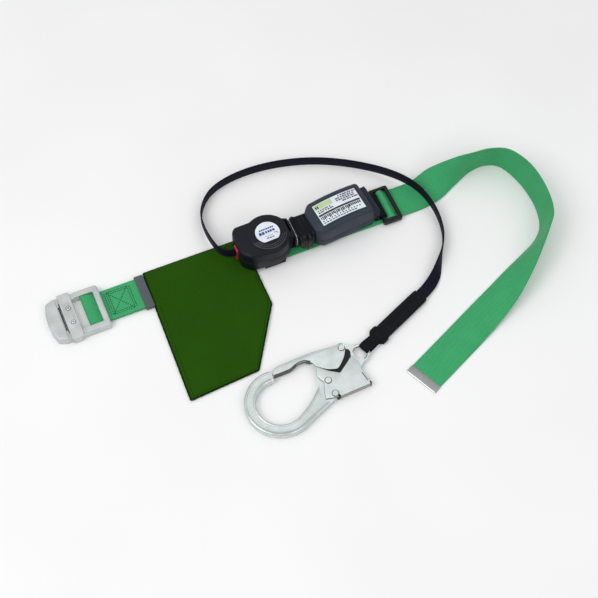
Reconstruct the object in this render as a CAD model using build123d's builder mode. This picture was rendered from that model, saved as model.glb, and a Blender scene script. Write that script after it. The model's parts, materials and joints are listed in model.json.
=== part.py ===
"""Waist work belt with a self retracting lanyard, laid out on a flat surface.

The belt runs along X with its buckle at -X.  Its tail goes round a wide bend and comes
back in front.  Millimetres, +Z up, Z = 0 is the surface that everything lies on.
"""

import os
from math import atan2, cos, degrees, pi, radians, sin, tan

from build123d import *

os.makedirs("parts", exist_ok=True)

# ---------------------------------------------------------------- driving dimensions
reel_x = -34.94  # reel axis, from the middle of the outfit
belt_y = 134.87  # centre line of the straight belt, from the middle of the outfit
belt_width = 50.0
belt_thick = 1.8
belt_low = 2.4  # underside of the straight belt, which rides on its fittings
running = 0.35  # clearance of soft parts that slide
strap_width = 17.5  # lanyard webbing
strap_thick = 2.0
sleeve_width = 23.0
sheet_thick = 1.6  # steel sheet of the hook's gate and lever
hook_yaw = 11.0  # hook's long axis, from X
lanyard_yaw = 23.5  # sleeve's axis, from X
absorber_yaw = 5.0

belt_top = belt_low + belt_thick
half_belt = belt_width / 2

outfit = Plane(origin=(reel_x, belt_y, 0))  # reel axis on the belt's centre line


def save(part, label):
    """Label a finished piece and write it to its own file."""
    part.label = label
    export_step(part, f"parts/{label}.step")


def turned(plane, x, y, yaw, z=0.0):
    """Plane at x, y, z of a flat plane, turned about its own Z."""
    return Plane(
        origin=plane.from_local_coords(Vector(x, y, z)),
        x_dir=(cos(radians(yaw)), sin(radians(yaw)), 0),
        z_dir=(0, 0, 1),
    )


def side_plane(plane, offset=0.0):
    """Upright plane along a flat plane's X, whose own Y is up and whose normal is -Y."""
    return Plane(
        origin=plane.from_local_coords(Vector(0, offset, 0)),
        x_dir=plane.x_dir,
        z_dir=-plane.y_dir,
    )


# ---------------------------------------------------------------- belt webbing
bar_u = -277.0  # bar that the belt's fixed end is looped round
bar_z = 7.6
bar_radius = 2.8
fold_end_u = -199.0  # end of the stitched fold
adjuster_u = 189.0  # middle bar of the adjuster
crest_z = 10.6  # mid thickness of the belt on the middle bar
tail_u = 206.0  # where the flat run ends and the tail begins
loop_radius = bar_radius + 0.45 + belt_thick / 2

# Tail: lower edge and upper edge of the webbing at each station, along its bend.
tail_stations = [
    ((206, -25, 3.3), (206, 25, 3.3)),
    ((241, -24.5, 1.3), (242, 24.5, 6)),
    ((271, -19, 0.95), (271, 24.6, 25)),
    ((301, -5, 0.95), (307, 13, 47)),
    ((331, 8, 0.95), (336, 8, 50.5)),
    ((359, 11, 0.95), (362, 5, 50.5)),
    ((382, -2, 0.95), (388, -8, 50)),
    ((395, -40, 0.95), (404, -43, 50)),
    ((397, -84, 0.95), (406, -87, 50)),
    ((387, -120, 0.95), (397, -128, 49.5)),
    ((366, -141, 0.95), (377, -153, 47.5)),
    ((337, -155, 0.95), (350, -180, 42)),
    ((307, -168, 0.95), (325, -202, 32.5)),
    ((271, -184.5, 0.95), (292, -226, 18)),
    ((232, -202, 0.95), (253, -246.7, 6)),
    ((189, -222, 0.95), (210, -267.3, 0.95)),
    ((113, -257, 0.95), (134, -302.3, 0.95)),
]


def belt_profile():
    """Side view of the flat belt: loop on the bar, stitched fold, weave in the adjuster."""
    low_mid = belt_low + belt_thick / 2
    high_mid = belt_top + 0.25 + belt_thick / 2
    with BuildLine() as line:
        top = (bar_u, bar_z + loop_radius)
        low = (bar_u, bar_z - loop_radius)
        FilletPolyline((fold_end_u, high_mid), (bar_u + 17, high_mid), top, radius=3)
        ThreePointArc(top, (bar_u - loop_radius, bar_z), low)
        FilletPolyline(
            low,
            (bar_u + 8, low_mid),
            (adjuster_u - 9.5, low_mid),
            (adjuster_u - 2.5, crest_z),
            (adjuster_u + 2.5, crest_z),
            (adjuster_u + 9.5, low_mid),
            (tail_u, low_mid),
            radius=1.6,
        )
    return line.line


def tail_sections():
    """Planes across the tail's webbing, square to its run, each with its width there."""
    edges = []
    for low_edge, high_edge in tail_stations:
        low_point = outfit.from_local_coords(Vector(*low_edge))
        high_point = outfit.from_local_coords(Vector(*high_edge))
        edges.append((low_point, high_point))
    sections = []
    for index, (low_point, high_point) in enumerate(edges):
        before = edges[max(index - 1, 0)]
        after = edges[min(index + 1, len(edges) - 1)]
        run = (after[0] + after[1]) - (before[0] + before[1])
        if index == 0:
            run = Vector(1, 0, 0)
        across = (high_point - low_point).normalized()
        run = (run - across * run.dot(across)).normalized()
        middle = (low_point + high_point) * 0.5
        plane = Plane(origin=middle, x_dir=across, z_dir=run)
        sections.append((plane, (high_point - low_point).length))
    return sections


with BuildPart() as belt_webbing:
    with BuildSketch(side_plane(outfit)):
        with BuildLine():
            add(belt_profile())
            offset(amount=belt_thick / 2, side=Side.BOTH, kind=Kind.ARC)
        make_face()
    extrude(amount=half_belt, both=True)
    for station_plane, width in tail_sections():
        with BuildSketch(station_plane):
            Rectangle(width, belt_thick)
    loft(ruled=True)
save(belt_webbing.part, "belt_webbing")

# Folded metal clamp on the tail's end.
tip_low, tip_high = (outfit.from_local_coords(Vector(*edge)) for edge in tail_stations[-1])
tip_plane = Plane(
    origin=(tip_low + tip_high) * 0.5,
    x_dir=(tip_high - tip_low).normalized(),
    z_dir=(0, 0, 1),
)
tip_length = 13.0
tip_wall = 0.9

with BuildPart() as belt_tip:
    with BuildSketch(tip_plane.offset(-belt_thick / 2)):
        with Locations((0, -tip_length / 2)):
            Rectangle(belt_width + 1.6, tip_length)
    extrude(amount=belt_thick + tip_wall)
    fillet(belt_tip.edges().filter_by(Axis.Z), radius=1.0)
save(belt_tip.part, "belt_tip")

# ---------------------------------------------------------------- belt buckle
frame_left = -331.0  # end of the frame, at its corners
frame_right = -253.0
frame_half = 35.5
rail_width = 9.5
bar_width = 9.0
frame_top = 13.2
corner_round = 4.5
socket_end = 4.0  # metal left outside each end of the cross bar
slider_left = -312.5
slider_right = -294.5
plate_top = 13.0

with BuildPart() as buckle_frame:
    with BuildSketch(outfit):
        with BuildLine():
            Polyline(
                (frame_left, frame_half - 4),
                (frame_left + 12, frame_half),
                (frame_right, frame_half),
                (frame_right, -frame_half),
                (frame_left + 12, -frame_half),
                (frame_left, -frame_half + 4),
            )
            ThreePointArc(
                (frame_left, -frame_half + 4), (frame_left - 6, 0), (frame_left, frame_half - 4)
            )
        make_face()
    extrude(amount=frame_top)
    outer_edges = buckle_frame.edges().filter_by(Axis.Z)
    fillet(outer_edges, radius=corner_round)
    fillet(buckle_frame.faces().sort_by(Axis.Z)[-1].edges(), radius=3.0)
    window_left = frame_left + 17
    window_right = frame_right - bar_width
    with BuildSketch(outfit):
        with Locations(((window_left + window_right) / 2, 0)):
            RectangleRounded(
                window_right - window_left, 2 * (frame_half - rail_width), 1.5
            )
    extrude(amount=frame_top + 1, mode=Mode.SUBTRACT)
    top_face = buckle_frame.faces().sort_by(Axis.Z)[-1]
    fillet(top_face.inner_wires()[0].edges(), radius=1.2)
    # The belt leaves under the right bar.
    with BuildSketch(outfit):
        with Locations((frame_right - bar_width / 2, 0)):
            Rectangle(bar_width + 4, belt_width + 1.4)
    extrude(amount=7.2, mode=Mode.SUBTRACT)
    # The rails are lower where the slider wraps round them.
    with BuildSketch(outfit.offset(plate_top - 2.8)):
        with Locations(((slider_left + slider_right) / 2, 0)):
            Rectangle(slider_right - slider_left + 10, 2 * frame_half + 2)
    extrude(amount=8, mode=Mode.SUBTRACT)
    # Sockets of the cross bar.
    with BuildSketch(side_plane(outfit)):
        with Locations((bar_u, bar_z)):
            Circle(bar_radius)
    extrude(amount=frame_half - socket_end, both=True, mode=Mode.SUBTRACT)
save(buckle_frame.part, "buckle_frame")

with BuildPart() as buckle_bar:
    with BuildSketch(side_plane(outfit)):
        with Locations((bar_u, bar_z)):
            Circle(bar_radius)
    extrude(amount=frame_half - socket_end, both=True)
save(buckle_bar.part, "buckle_bar")

# Slider plate: it wraps both rails and carries the gripping bar under it.
slider_mid = (slider_left + slider_right) / 2
slider_length = slider_right - slider_left
lug_wall = 2.6

with BuildPart() as buckle_slider:
    with BuildSketch(outfit.offset(plate_top - 2.3)):
        with Locations((slider_mid, 0)):
            Rectangle(slider_length, 2 * (frame_half + lug_wall))
    extrude(amount=2.6)
    fillet(buckle_slider.faces().sort_by(Axis.Z)[-1].edges(), radius=0.8)
    for side in (-1, 1):
        with BuildSketch(outfit.offset(1)):
            with Locations((slider_mid - 1, side * (frame_half + 0.35 + lug_wall / 2))):
                Rectangle(slider_length - 5, lug_wall)
        extrude(amount=plate_top - 1.5)
    with BuildSketch(outfit.offset(plate_top - 3)):
        with Locations((slider_mid + 1, 12), (slider_mid + 1, -12)):
            Circle(1.6)
    extrude(amount=6, mode=Mode.SUBTRACT)
save(buckle_slider.part, "buckle_slider")

with BuildPart() as buckle_grip:
    with BuildSketch(outfit.offset(4.0)):
        with Locations((slider_mid + 1, 0)):
            Rectangle(11, 2 * (frame_half - rail_width) - 2)
    extrude(amount=plate_top - 2.3 - 4.0)
    with BuildSketch(outfit.offset(4.0)):
        with Locations((slider_mid + 1, 12), (slider_mid + 1, -12)):
            Circle(1.6)
    extrude(amount=10, mode=Mode.SUBTRACT)
save(buckle_grip.part, "buckle_grip")

with BuildPart() as buckle_screws:
    with BuildSketch(outfit.offset(5.5)):
        with Locations((slider_mid + 1, 12), (slider_mid + 1, -12)):
            Circle(1.6)
    extrude(amount=plate_top + 0.3 - 5.5)
    with BuildSketch(outfit.offset(plate_top + 0.3)):
        with Locations((slider_mid + 1, 12), (slider_mid + 1, -12)):
            Circle(3.1)
    extrude(amount=1.5)
    fillet(buckle_screws.faces().sort_by(Axis.Z)[-2:].edges(), radius=0.8)
save(buckle_screws.part, "buckle_screws")

# ---------------------------------------------------------------- belt keeper
keeper_left = -199.5
keeper_length = 13.5
keeper_wall = 1.6
keeper_top = belt_low + 2 * belt_thick + 0.25 + running + keeper_wall

with BuildPart() as belt_keeper:
    with BuildSketch(Plane.YZ.offset(reel_x + keeper_left)):
        with Locations((belt_y, (keeper_top + belt_low - running - keeper_wall) / 2)):
            RectangleRounded(
                belt_width + 2 * (running + keeper_wall) + 3,
                keeper_top - belt_low + running + keeper_wall,
                1.8,
            )
            RectangleRounded(
                belt_width + 2 * running + 1,
                keeper_top - belt_low + running - keeper_wall,
                0.3,
                mode=Mode.SUBTRACT,
            )
    extrude(amount=keeper_length)
save(belt_keeper.part, "belt_keeper")

# ---------------------------------------------------------------- hook pouch
pouch_left = -184.0
pouch_right = -30.5
pouch_near = -189.0  # its near end, from the belt's centre line
pouch_far = 31.0
fabric = 1.1
panel_gap = 0.5

pouch_outline = [
    (pouch_left, pouch_far),
    (pouch_left - 8, pouch_near + 2),
    (-88, pouch_near + 9),
    (pouch_right, -88),
    (pouch_right, pouch_far),
]
hem_inset = 2.2
tunnel_near = -half_belt - 6.0
tunnel_low = belt_low - running - fabric
tunnel_top = belt_top + running


def pouch_panel(height, far_end):
    """Flat panel of the pouch at a height, ending at far_end under or over the belt."""
    with BuildPart() as panel:
        with BuildSketch(outfit.offset(height)):
            Polygon(*pouch_outline, align=None)
            with Locations(((pouch_left + pouch_right) / 2, far_end + 100)):
                Rectangle(400, 200, mode=Mode.SUBTRACT)
        extrude(amount=fabric)
    return panel.part


front_low = tunnel_low + fabric + panel_gap
save(pouch_panel(tunnel_low, tunnel_near), "pouch_back")
save(pouch_panel(front_low, tunnel_near), "pouch_front")

# Sleeve of the pouch that the belt passes through.
with BuildPart() as pouch_belt_loop:
    tunnel_left = pouch_left + 0.6
    with BuildSketch(Plane.YZ.offset(reel_x + tunnel_left)):
        with BuildLine():
            Polyline(
                (belt_y + tunnel_near, tunnel_low),
                (belt_y + pouch_far, tunnel_low),
                (belt_y + pouch_far, tunnel_top + fabric),
                (belt_y + tunnel_near, tunnel_top + fabric),
                close=True,
            )
        make_face()
        with Locations((belt_y, (belt_low + belt_top) / 2)):
            Rectangle(belt_width + 2 * running + 2, belt_thick + 2 * running, mode=Mode.SUBTRACT)
    extrude(amount=pouch_right - tunnel_left)
save(pouch_belt_loop.part, "pouch_belt_loop")

# Bound edge that joins the two panels round the three open sides.
with BuildPart() as pouch_binding:
    with BuildSketch(outfit.offset(tunnel_low)):
        Polygon(*pouch_outline, align=None)
        offset(amount=hem_inset, kind=Kind.INTERSECTION)
        Polygon(*pouch_outline, align=None, mode=Mode.SUBTRACT)
        with Locations(((pouch_left + pouch_right) / 2, tunnel_near + 100)):
            Rectangle(400, 200, mode=Mode.SUBTRACT)
    extrude(amount=front_low + fabric - tunnel_low)
save(pouch_binding.part, "pouch_binding")

# ---------------------------------------------------------------- reel casing
casing_radius = 33.5
casing_wall = 2.2
plate_low = belt_top + 2.1  # load plate, over the belt and the pouch's sleeve
plate_thick = 1.8
casing_low = plate_low + plate_thick
casing_split = 27.0
casing_top = 46.0
shoulder_left = -48.0
lug_right = 36.0
lug_half = 15.0
strap_low = 12.2  # lower edge of the wound strap
strap_mid = strap_low + strap_width / 2
screw_radius = 1.25
screw_right = 32.0
screw_side = 11.0
casing_screws = [(screw_right, screw_side), (screw_right, -screw_side), (-38, 22.5), (-38, -20.5)]


def casing_outline():
    """Plan of the casing: round, with square shoulders at the outlet and a hitch lug."""
    with BuildSketch(mode=Mode.PRIVATE) as outline:
        Circle(casing_radius)
        Polygon(
            (0, casing_radius),
            (-35, casing_radius - 2),
            (shoulder_left, 20),
            (shoulder_left, -18),
            (-37, -casing_radius + 3),
            (0, -casing_radius),
            align=None,
        )
        with Locations((lug_right / 2, 0)):
            Rectangle(lug_right, 2 * lug_half)
        offset(amount=-2.0)
        offset(amount=2.0, kind=Kind.ARC)
    return outline.sketch


def inner_outline(wall):
    """Plan of the hollow inside the casing."""
    with BuildSketch(mode=Mode.PRIVATE) as outline:
        Circle(casing_radius - wall)
        Polygon(
            (0, 18),
            (shoulder_left + wall, 14),
            (shoulder_left + wall, -14),
            (0, -18),
            align=None,
        )
    return outline.sketch


with BuildPart() as reel_rear_cover:
    with BuildSketch(outfit.offset(casing_low)):
        add(casing_outline())
    extrude(amount=casing_split - casing_low)
    with BuildSketch(outfit.offset(casing_low + 1.8)):
        add(inner_outline(casing_wall))
    extrude(amount=casing_split, mode=Mode.SUBTRACT)
    # Outlet for the strap.
    with BuildSketch(outfit.offset(strap_low - 2.0)):
        with Locations((shoulder_left, 1)):
            Rectangle(12, 10.4)
    extrude(amount=casing_split, mode=Mode.SUBTRACT)
    with BuildSketch(outfit.offset(casing_low)):
        Circle(3.0)
        with Locations(*casing_screws):
            Circle(screw_radius)
    extrude(amount=casing_split, mode=Mode.SUBTRACT)
save(reel_rear_cover.part, "reel_rear_cover")

ridge_radii = (21.5, 24.5, 27.5)
rim_chamfer = 2.6

with BuildPart() as reel_front_cover:
    with BuildSketch(outfit.offset(casing_split)):
        add(casing_outline())
    extrude(amount=casing_top - casing_split - rim_chamfer)
    with BuildSketch(outfit.offset(casing_top - rim_chamfer)):
        add(casing_outline())
    extrude(amount=rim_chamfer, taper=40)
    with BuildSketch(outfit.offset(casing_split)):
        add(inner_outline(casing_wall))
    extrude(amount=casing_top - casing_split - 2.0, mode=Mode.SUBTRACT)
    with BuildSketch(outfit.offset(casing_split)):
        with Locations((shoulder_left, 1)):
            Rectangle(12, 10.4)
    extrude(amount=strap_low + strap_width + 2.0 - casing_split, mode=Mode.SUBTRACT)
    # Finger ridges on the near half of the face.
    for ridge in ridge_radii:
        with BuildSketch(outfit.offset(casing_top - 0.2)):
            Circle(ridge + 0.8)
            Circle(ridge - 0.8, mode=Mode.SUBTRACT)
            with Locations((0, 10)):
                Rectangle(80, 46, mode=Mode.SUBTRACT)
        extrude(amount=1.2)
save(reel_front_cover.part, "reel_front_cover")

with BuildPart() as reel_label:
    with BuildSketch(outfit.offset(casing_top)):
        Circle(18.0)
        with Locations((-2, -24.5)):
            Rectangle(60, 18, rotation=-6, mode=Mode.SUBTRACT)
    extrude(amount=0.4)
save(reel_label.part, "reel_label")

# Oval guide ring that the strap runs out through.
with BuildPart() as webbing_guide:
    guide_plane = Plane(
        origin=(reel_x + shoulder_left - 2.6, belt_y + 1, strap_mid),
        x_dir=(0, 1, 0),
        z_dir=(1, 0, 0),
    )
    with BuildSketch(guide_plane):
        RectangleRounded(15, 25, 7.2)
        RectangleRounded(5.2, 19.5, 2.5, mode=Mode.SUBTRACT)
    extrude(amount=2.6)
    fillet(webbing_guide.faces().sort_by(Axis.X)[0].edges(), radius=0.9)
    with BuildSketch(guide_plane.offset(2.6)):
        RectangleRounded(9.4, 21.0, 3)
        RectangleRounded(5.2, 19.5, 2.5, mode=Mode.SUBTRACT)
    extrude(amount=3.4)
save(webbing_guide.part, "webbing_guide")

# Steel load plate and the channel that clips it round the belt.
with BuildPart() as reel_base_plate:
    with BuildSketch(outfit.offset(plate_low)):
        Circle(24)
        with Locations((7.5, 0)):
            Rectangle(57, 30)
        Rectangle(34, 59)
    extrude(amount=plate_thick)
    with BuildSketch(outfit.offset(plate_low)):
        Circle(3.0)
        with Locations((screw_right, screw_side), (screw_right, -screw_side)):
            Circle(screw_radius)
    extrude(amount=plate_thick, mode=Mode.SUBTRACT)
save(reel_base_plate.part, "reel_base_plate")

with BuildPart() as reel_belt_bracket:
    with BuildSketch(Plane.YZ.offset(reel_x - 16)):
        with BuildLine():
            Polyline(
                (belt_y - 29.5, plate_low),
                (belt_y - 29.5, 0.4),
                (belt_y + 29.5, 0.4),
                (belt_y + 29.5, plate_low),
                (belt_y + 27.5, plate_low),
                (belt_y + 27.5, 2.05),
                (belt_y - 27.5, 2.05),
                (belt_y - 27.5, plate_low),
                close=True,
            )
        make_face()
    extrude(amount=32)
save(reel_belt_bracket.part, "reel_belt_bracket")

with BuildPart() as reel_screws:
    with BuildSketch(outfit.offset(casing_low)):
        with Locations(*casing_screws):
            Circle(screw_radius)
    extrude(amount=casing_split - casing_low)
save(reel_screws.part, "reel_screws")

# ---------------------------------------------------------------- spool and lock
flange_radius = 29.0
shaft_radius = 3.0
shaft_top = 43.4
lower_flange = 11.0
upper_flange = strap_low + strap_width + 0.1
arbor_radius = 5.5
pivot_radius = 14.0  # lock pawls' pivots, from the reel axis
pawl_pin_radius = 1.4
tooth_count = 12

with BuildPart() as spool_shaft:
    with BuildSketch(outfit.offset(plate_low)):
        Circle(shaft_radius)
    extrude(amount=shaft_top - plate_low)
    with BuildSketch(outfit.offset(shaft_top - 1.6)):
        Circle(shaft_radius + 1)
        Circle(shaft_radius - 0.6, mode=Mode.SUBTRACT)
    extrude(amount=0.9, mode=Mode.SUBTRACT)
save(spool_shaft.part, "spool_shaft")

with BuildPart() as shaft_clip:
    with BuildSketch(outfit.offset(shaft_top - 1.55)):
        Circle(5.0)
        Circle(shaft_radius - 0.55, mode=Mode.SUBTRACT)
        with Locations((0, -4)):
            Rectangle(2.4, 6, mode=Mode.SUBTRACT)
    extrude(amount=0.8)
save(shaft_clip.part, "shaft_clip")

with BuildPart() as spool_bush:
    with BuildSketch(outfit.offset(lower_flange)):
        Circle(4.5)
        Circle(shaft_radius + 0.05, mode=Mode.SUBTRACT)
    extrude(amount=upper_flange - lower_flange)
save(spool_bush.part, "spool_bush")

with BuildPart() as spool_drum:
    with BuildSketch(outfit.offset(lower_flange + 1.1)):
        Circle(12.0)
        Circle(4.5, mode=Mode.SUBTRACT)
    extrude(amount=upper_flange - lower_flange - 1.1)
save(spool_drum.part, "spool_drum")

pawl_pivots = {
    "a": (pivot_radius * cos(radians(100)), pivot_radius * sin(radians(100))),
    "b": (pivot_radius * cos(radians(280)), pivot_radius * sin(radians(280))),
}

with BuildPart() as spool_lower_flange:
    with BuildSketch(outfit.offset(lower_flange)):
        Circle(flange_radius)
        Circle(4.5, mode=Mode.SUBTRACT)
        with Locations(*pawl_pivots.values()):
            Circle(pawl_pin_radius, mode=Mode.SUBTRACT)
    extrude(amount=1.1)
save(spool_lower_flange.part, "spool_lower_flange")

with BuildPart() as spool_upper_flange:
    with BuildSketch(outfit.offset(upper_flange)):
        Circle(flange_radius)
        Circle(shaft_radius + 0.1, mode=Mode.SUBTRACT)
    extrude(amount=1.1)
    with BuildSketch(outfit.offset(upper_flange + 1.1)):
        Circle(arbor_radius)
        Circle(shaft_radius + 0.1, mode=Mode.SUBTRACT)
    extrude(amount=shaft_top - 2.4 - upper_flange - 1.1)
save(spool_upper_flange.part, "spool_upper_flange")

with BuildPart() as wound_strap:
    with BuildSketch(outfit.offset(strap_low)):
        Circle(23.5)
        Circle(12.0, mode=Mode.SUBTRACT)
    extrude(amount=strap_width)
save(wound_strap.part, "wound_strap")

# Flat spiral spring, from the arbor out to the spring case.
spring_low = 33.6
spring_height = 7.0
spring_turns = 7
spring_pitch = 2.1
spring_thick = 0.5
case_radius = 24.5
case_wall = 1.4


def spiral_points(offset_out):
    """Points of the spring's face, offset_out from its centre line, for each twelfth of a turn."""
    points = []
    for step in range(spring_turns * 12 + 1):
        turn = step / 12
        radius = arbor_radius + 0.55 + spring_pitch * turn + offset_out
        points.append((radius * cos(2 * pi * turn), radius * sin(2 * pi * turn)))
    return points


with BuildPart() as power_spring:
    with BuildSketch(outfit.offset(spring_low)):
        with BuildLine():
            inner_face = Spline(*spiral_points(-spring_thick / 2))
            outer_face = Spline(*spiral_points(spring_thick / 2))
            Line(inner_face @ 0, outer_face @ 0)
            Line(inner_face @ 1, outer_face @ 1)
        make_face()
    extrude(amount=spring_height)
save(power_spring.part, "power_spring")

with BuildPart() as spring_case:
    with BuildSketch(outfit.offset(spring_low - 1.5)):
        Circle(case_radius)
        Circle(arbor_radius + 0.5, mode=Mode.SUBTRACT)
    extrude(amount=spring_height + 2.4)
    with BuildSketch(outfit.offset(spring_low - 0.3)):
        Circle(case_radius - case_wall)
    extrude(amount=spring_height + 3, mode=Mode.SUBTRACT)
save(spring_case.part, "spring_case")

# Ring of inner teeth that the lock pawls catch.
with BuildPart() as ratchet_ring:
    with BuildSketch(outfit.offset(casing_low + 1.8)):
        Circle(casing_radius - casing_wall)
        Circle(28.4, mode=Mode.SUBTRACT)
        with PolarLocations(27.2, tooth_count, start_angle=0):
            Polygon((-1.2, 0), (1.6, -1.6), (1.6, 1.6), align=None)
    extrude(amount=0.9)
save(ratchet_ring.part, "ratchet_ring")

with BuildPart() as pawl_pins:
    with BuildSketch(outfit.offset(casing_low + 2.0)):
        with Locations(*pawl_pivots.values()):
            Circle(pawl_pin_radius)
    extrude(amount=lower_flange + 1.1 - casing_low - 2.0)
save(pawl_pins.part, "pawl_pins")

pawl_thick = 0.75
pawl_outline = [(-2.6, 1.6), (2.9, 1.6), (8.6, -11.5), (6.9, -14.0), (1.0, -9.0), (-2.6, -1.0)]

for letter, (pin_x, pin_y) in pawl_pivots.items():
    pawl_plane = turned(outfit, pin_x, pin_y, degrees(atan2(pin_y, pin_x)), casing_low + 2.05)
    with BuildPart() as lock_pawl:
        with BuildSketch(pawl_plane):
            Circle(3.4)
            Polygon(*pawl_outline, align=None)
            Circle(pawl_pin_radius + 0.06, mode=Mode.SUBTRACT)
        extrude(amount=pawl_thick)
    save(lock_pawl.part, f"lock_pawl_{letter}")

# ---------------------------------------------------------------- link ring
link_u = 46.0
link_rod = 4.0
link_low = 12.6
link_high = 29.6
link_width = 41.0
hitch_thick = 1.8
hitch_width = 24.0
loop_web = 2.0
loop_web_width = 27.0

link_plane = Plane(origin=(reel_x + link_u, belt_y, 0), x_dir=(0, 1, 0), z_dir=(1, 0, 0))

with BuildSketch(link_plane) as link_shape:
    with Locations((0, (link_low + link_high) / 2)):
        RectangleRounded(link_width, link_high - link_low, 6.5)
link_path = link_shape.sketch.face().outer_wire()

with BuildPart() as link_ring:
    with BuildSketch(Plane(origin=link_path @ 0, z_dir=link_path % 0)):
        Circle(link_rod)
    sweep(path=link_path)
save(link_ring.part, "link_ring")


def wrap_profile(centre, radius, thick, leg_end):
    """Side view of a strip that comes from leg_end, goes round a rod and comes back."""
    inner = radius + 0.3
    outer = inner + thick
    away = 1 if leg_end > centre[0] else -1
    with BuildSketch(mode=Mode.PRIVATE) as profile:
        with Locations(centre):
            Circle(outer)
        with Locations(((centre[0] + leg_end) / 2, centre[1])):
            Rectangle(abs(leg_end - centre[0]), 2 * outer)
        with Locations(centre):
            Circle(inner, mode=Mode.SUBTRACT)
        with Locations(((centre[0] + leg_end + away) / 2, centre[1])):
            Rectangle(abs(leg_end - centre[0]) + 1, 2 * inner, mode=Mode.SUBTRACT)
    return profile.sketch


with BuildPart() as hitch_plate:
    with BuildSketch(side_plane(outfit)):
        add(wrap_profile((link_u, link_low), link_rod, hitch_thick, lug_right))
    extrude(amount=hitch_width / 2, both=True)
save(hitch_plate.part, "hitch_plate")

# ---------------------------------------------------------------- energy absorber
absorber_u = 113.0
absorber_v = 1.5
absorber_plane = turned(outfit, absorber_u, absorber_v, absorber_yaw)
case_low = 5.0
case_split = 19.0
case_wall_thick = 2.0
shell_left = -48.0
shell_right = 47.0
neck_right = 57.0
shell_half = 28.0
front_slot_z = link_high


def absorber_plan(inset=0.0):
    """Plan of the absorber's case, narrower at its front shoulders."""
    with BuildSketch(mode=Mode.PRIVATE) as plan:
        Polygon(
            (shell_left + inset, -19 + inset),
            (shell_left + 9 + inset, -shell_half + inset),
            (shell_right - 4 - inset, -shell_half + inset),
            (shell_right - inset, -shell_half + 4 + inset),
            (shell_right - inset, shell_half - 4 - inset),
            (shell_right - 4 - inset, shell_half - inset),
            (shell_left + 9 + inset, shell_half - inset),
            (shell_left + inset, 19 - inset),
            align=None,
        )
    return plan.sketch


def absorber_arch(inset=0.0):
    """Side view of the upper cover: an arched back with a sloped front."""
    with BuildSketch(mode=Mode.PRIVATE) as arch:
        with BuildLine():
            Polyline(
                (shell_left + 13 + inset, 43.5 - inset),
                (shell_left + inset, 37.4 - inset),
                (shell_left + inset, case_split),
                (shell_right - inset, case_split),
                (shell_right - inset, 34 - inset),
                (shell_right - 5 - inset, 44.5 - inset),
            )
            ThreePointArc(
                (shell_right - 5 - inset, 44.5 - inset),
                (2, 47.5 - inset),
                (shell_left + 13 + inset, 43.5 - inset),
            )
        make_face()
    return arch.sketch


with BuildPart() as front_slot:
    with BuildSketch(side_plane(absorber_plane)):
        with Locations((shell_left, front_slot_z)):
            Rectangle(12, 2 * (link_rod + 0.3 + loop_web) + 0.6)
    extrude(amount=loop_web_width / 2 + 4, both=True)

with BuildPart() as absorber_hollow:
    with BuildSketch(absorber_plane.offset(case_split)):
        add(absorber_plan(case_wall_thick))
    extrude(amount=32)
    with BuildSketch(side_plane(absorber_plane)):
        add(absorber_arch(case_wall_thick))
    extrude(amount=40, both=True, mode=Mode.INTERSECT)

with BuildPart() as absorber_upper_cover:
    with BuildSketch(absorber_plane.offset(case_split)):
        add(absorber_plan())
    extrude(amount=32)
    with BuildSketch(side_plane(absorber_plane)):
        add(absorber_arch())
    extrude(amount=40, both=True, mode=Mode.INTERSECT)
    add(absorber_hollow.part, mode=Mode.SUBTRACT)
    add(front_slot.part, mode=Mode.SUBTRACT)
save(absorber_upper_cover.part, "absorber_upper_cover")

with BuildPart() as absorber_lower_cover:
    with BuildSketch(absorber_plane.offset(case_low)):
        add(absorber_plan())
    extrude(amount=case_split - case_low)
    with BuildSketch(absorber_plane.offset(case_low + case_wall_thick)):
        add(absorber_plan(case_wall_thick))
    extrude(amount=40, mode=Mode.SUBTRACT)
save(absorber_lower_cover.part, "absorber_lower_cover")

# Webbing folded in a stack, which tears open in a fall.
fold_pitch = 3.4
fold_count = 9
fold_half = 36.0

with BuildPart() as tear_webbing:
    with BuildSketch(side_plane(absorber_plane)):
        with BuildLine():
            fold_points = []
            for fold in range(fold_count):
                height = case_low + case_wall_thick + 2.0 + fold * fold_pitch
                ends = (-fold_half, fold_half) if fold % 2 == 0 else (fold_half, -fold_half)
                fold_points += [(end, height) for end in ends]
            FilletPolyline(*fold_points, radius=fold_pitch * 0.48)
            offset(amount=1.1, side=Side.BOTH, kind=Kind.ARC)
        make_face()
    extrude(amount=20, both=True)
save(tear_webbing.part, "tear_webbing")

with BuildPart() as absorber_front_loop:
    with BuildSketch(side_plane(outfit)):
        add(wrap_profile((link_u, link_high), link_rod, loop_web, link_u + 24))
    extrude(amount=loop_web_width / 2, both=True)
    with BuildSketch(side_plane(outfit)):
        # Cross stitch that closes the loop inside the cover.
        with Locations((link_u + 23, link_high)):
            Rectangle(2, 2 * (link_rod + 0.3) + 1)
    extrude(amount=loop_web_width / 2, both=True)
save(absorber_front_loop.part, "absorber_front_loop")

with BuildPart() as absorber_label:
    with BuildSketch(absorber_plane.offset(case_split)):
        with Locations((0.5, 0)):
            Rectangle(70, 37)
    extrude(amount=40)
    with BuildSketch(side_plane(absorber_plane)):
        with BuildLine():
            arch_start = (shell_right - 5, 44.9)
            arch_end = (shell_left + 13, 43.9)
            ThreePointArc(arch_start, (2, 47.9), arch_end)
            Line(arch_end, (shell_left + 13, 43.5))
            ThreePointArc((shell_left + 13, 43.5), (2, 47.5), (shell_right - 5, 44.5))
            Line((shell_right - 5, 44.5), arch_start)
        make_face()
    extrude(amount=40, both=True, mode=Mode.INTERSECT)
save(absorber_label.part, "absorber_label")

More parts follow.
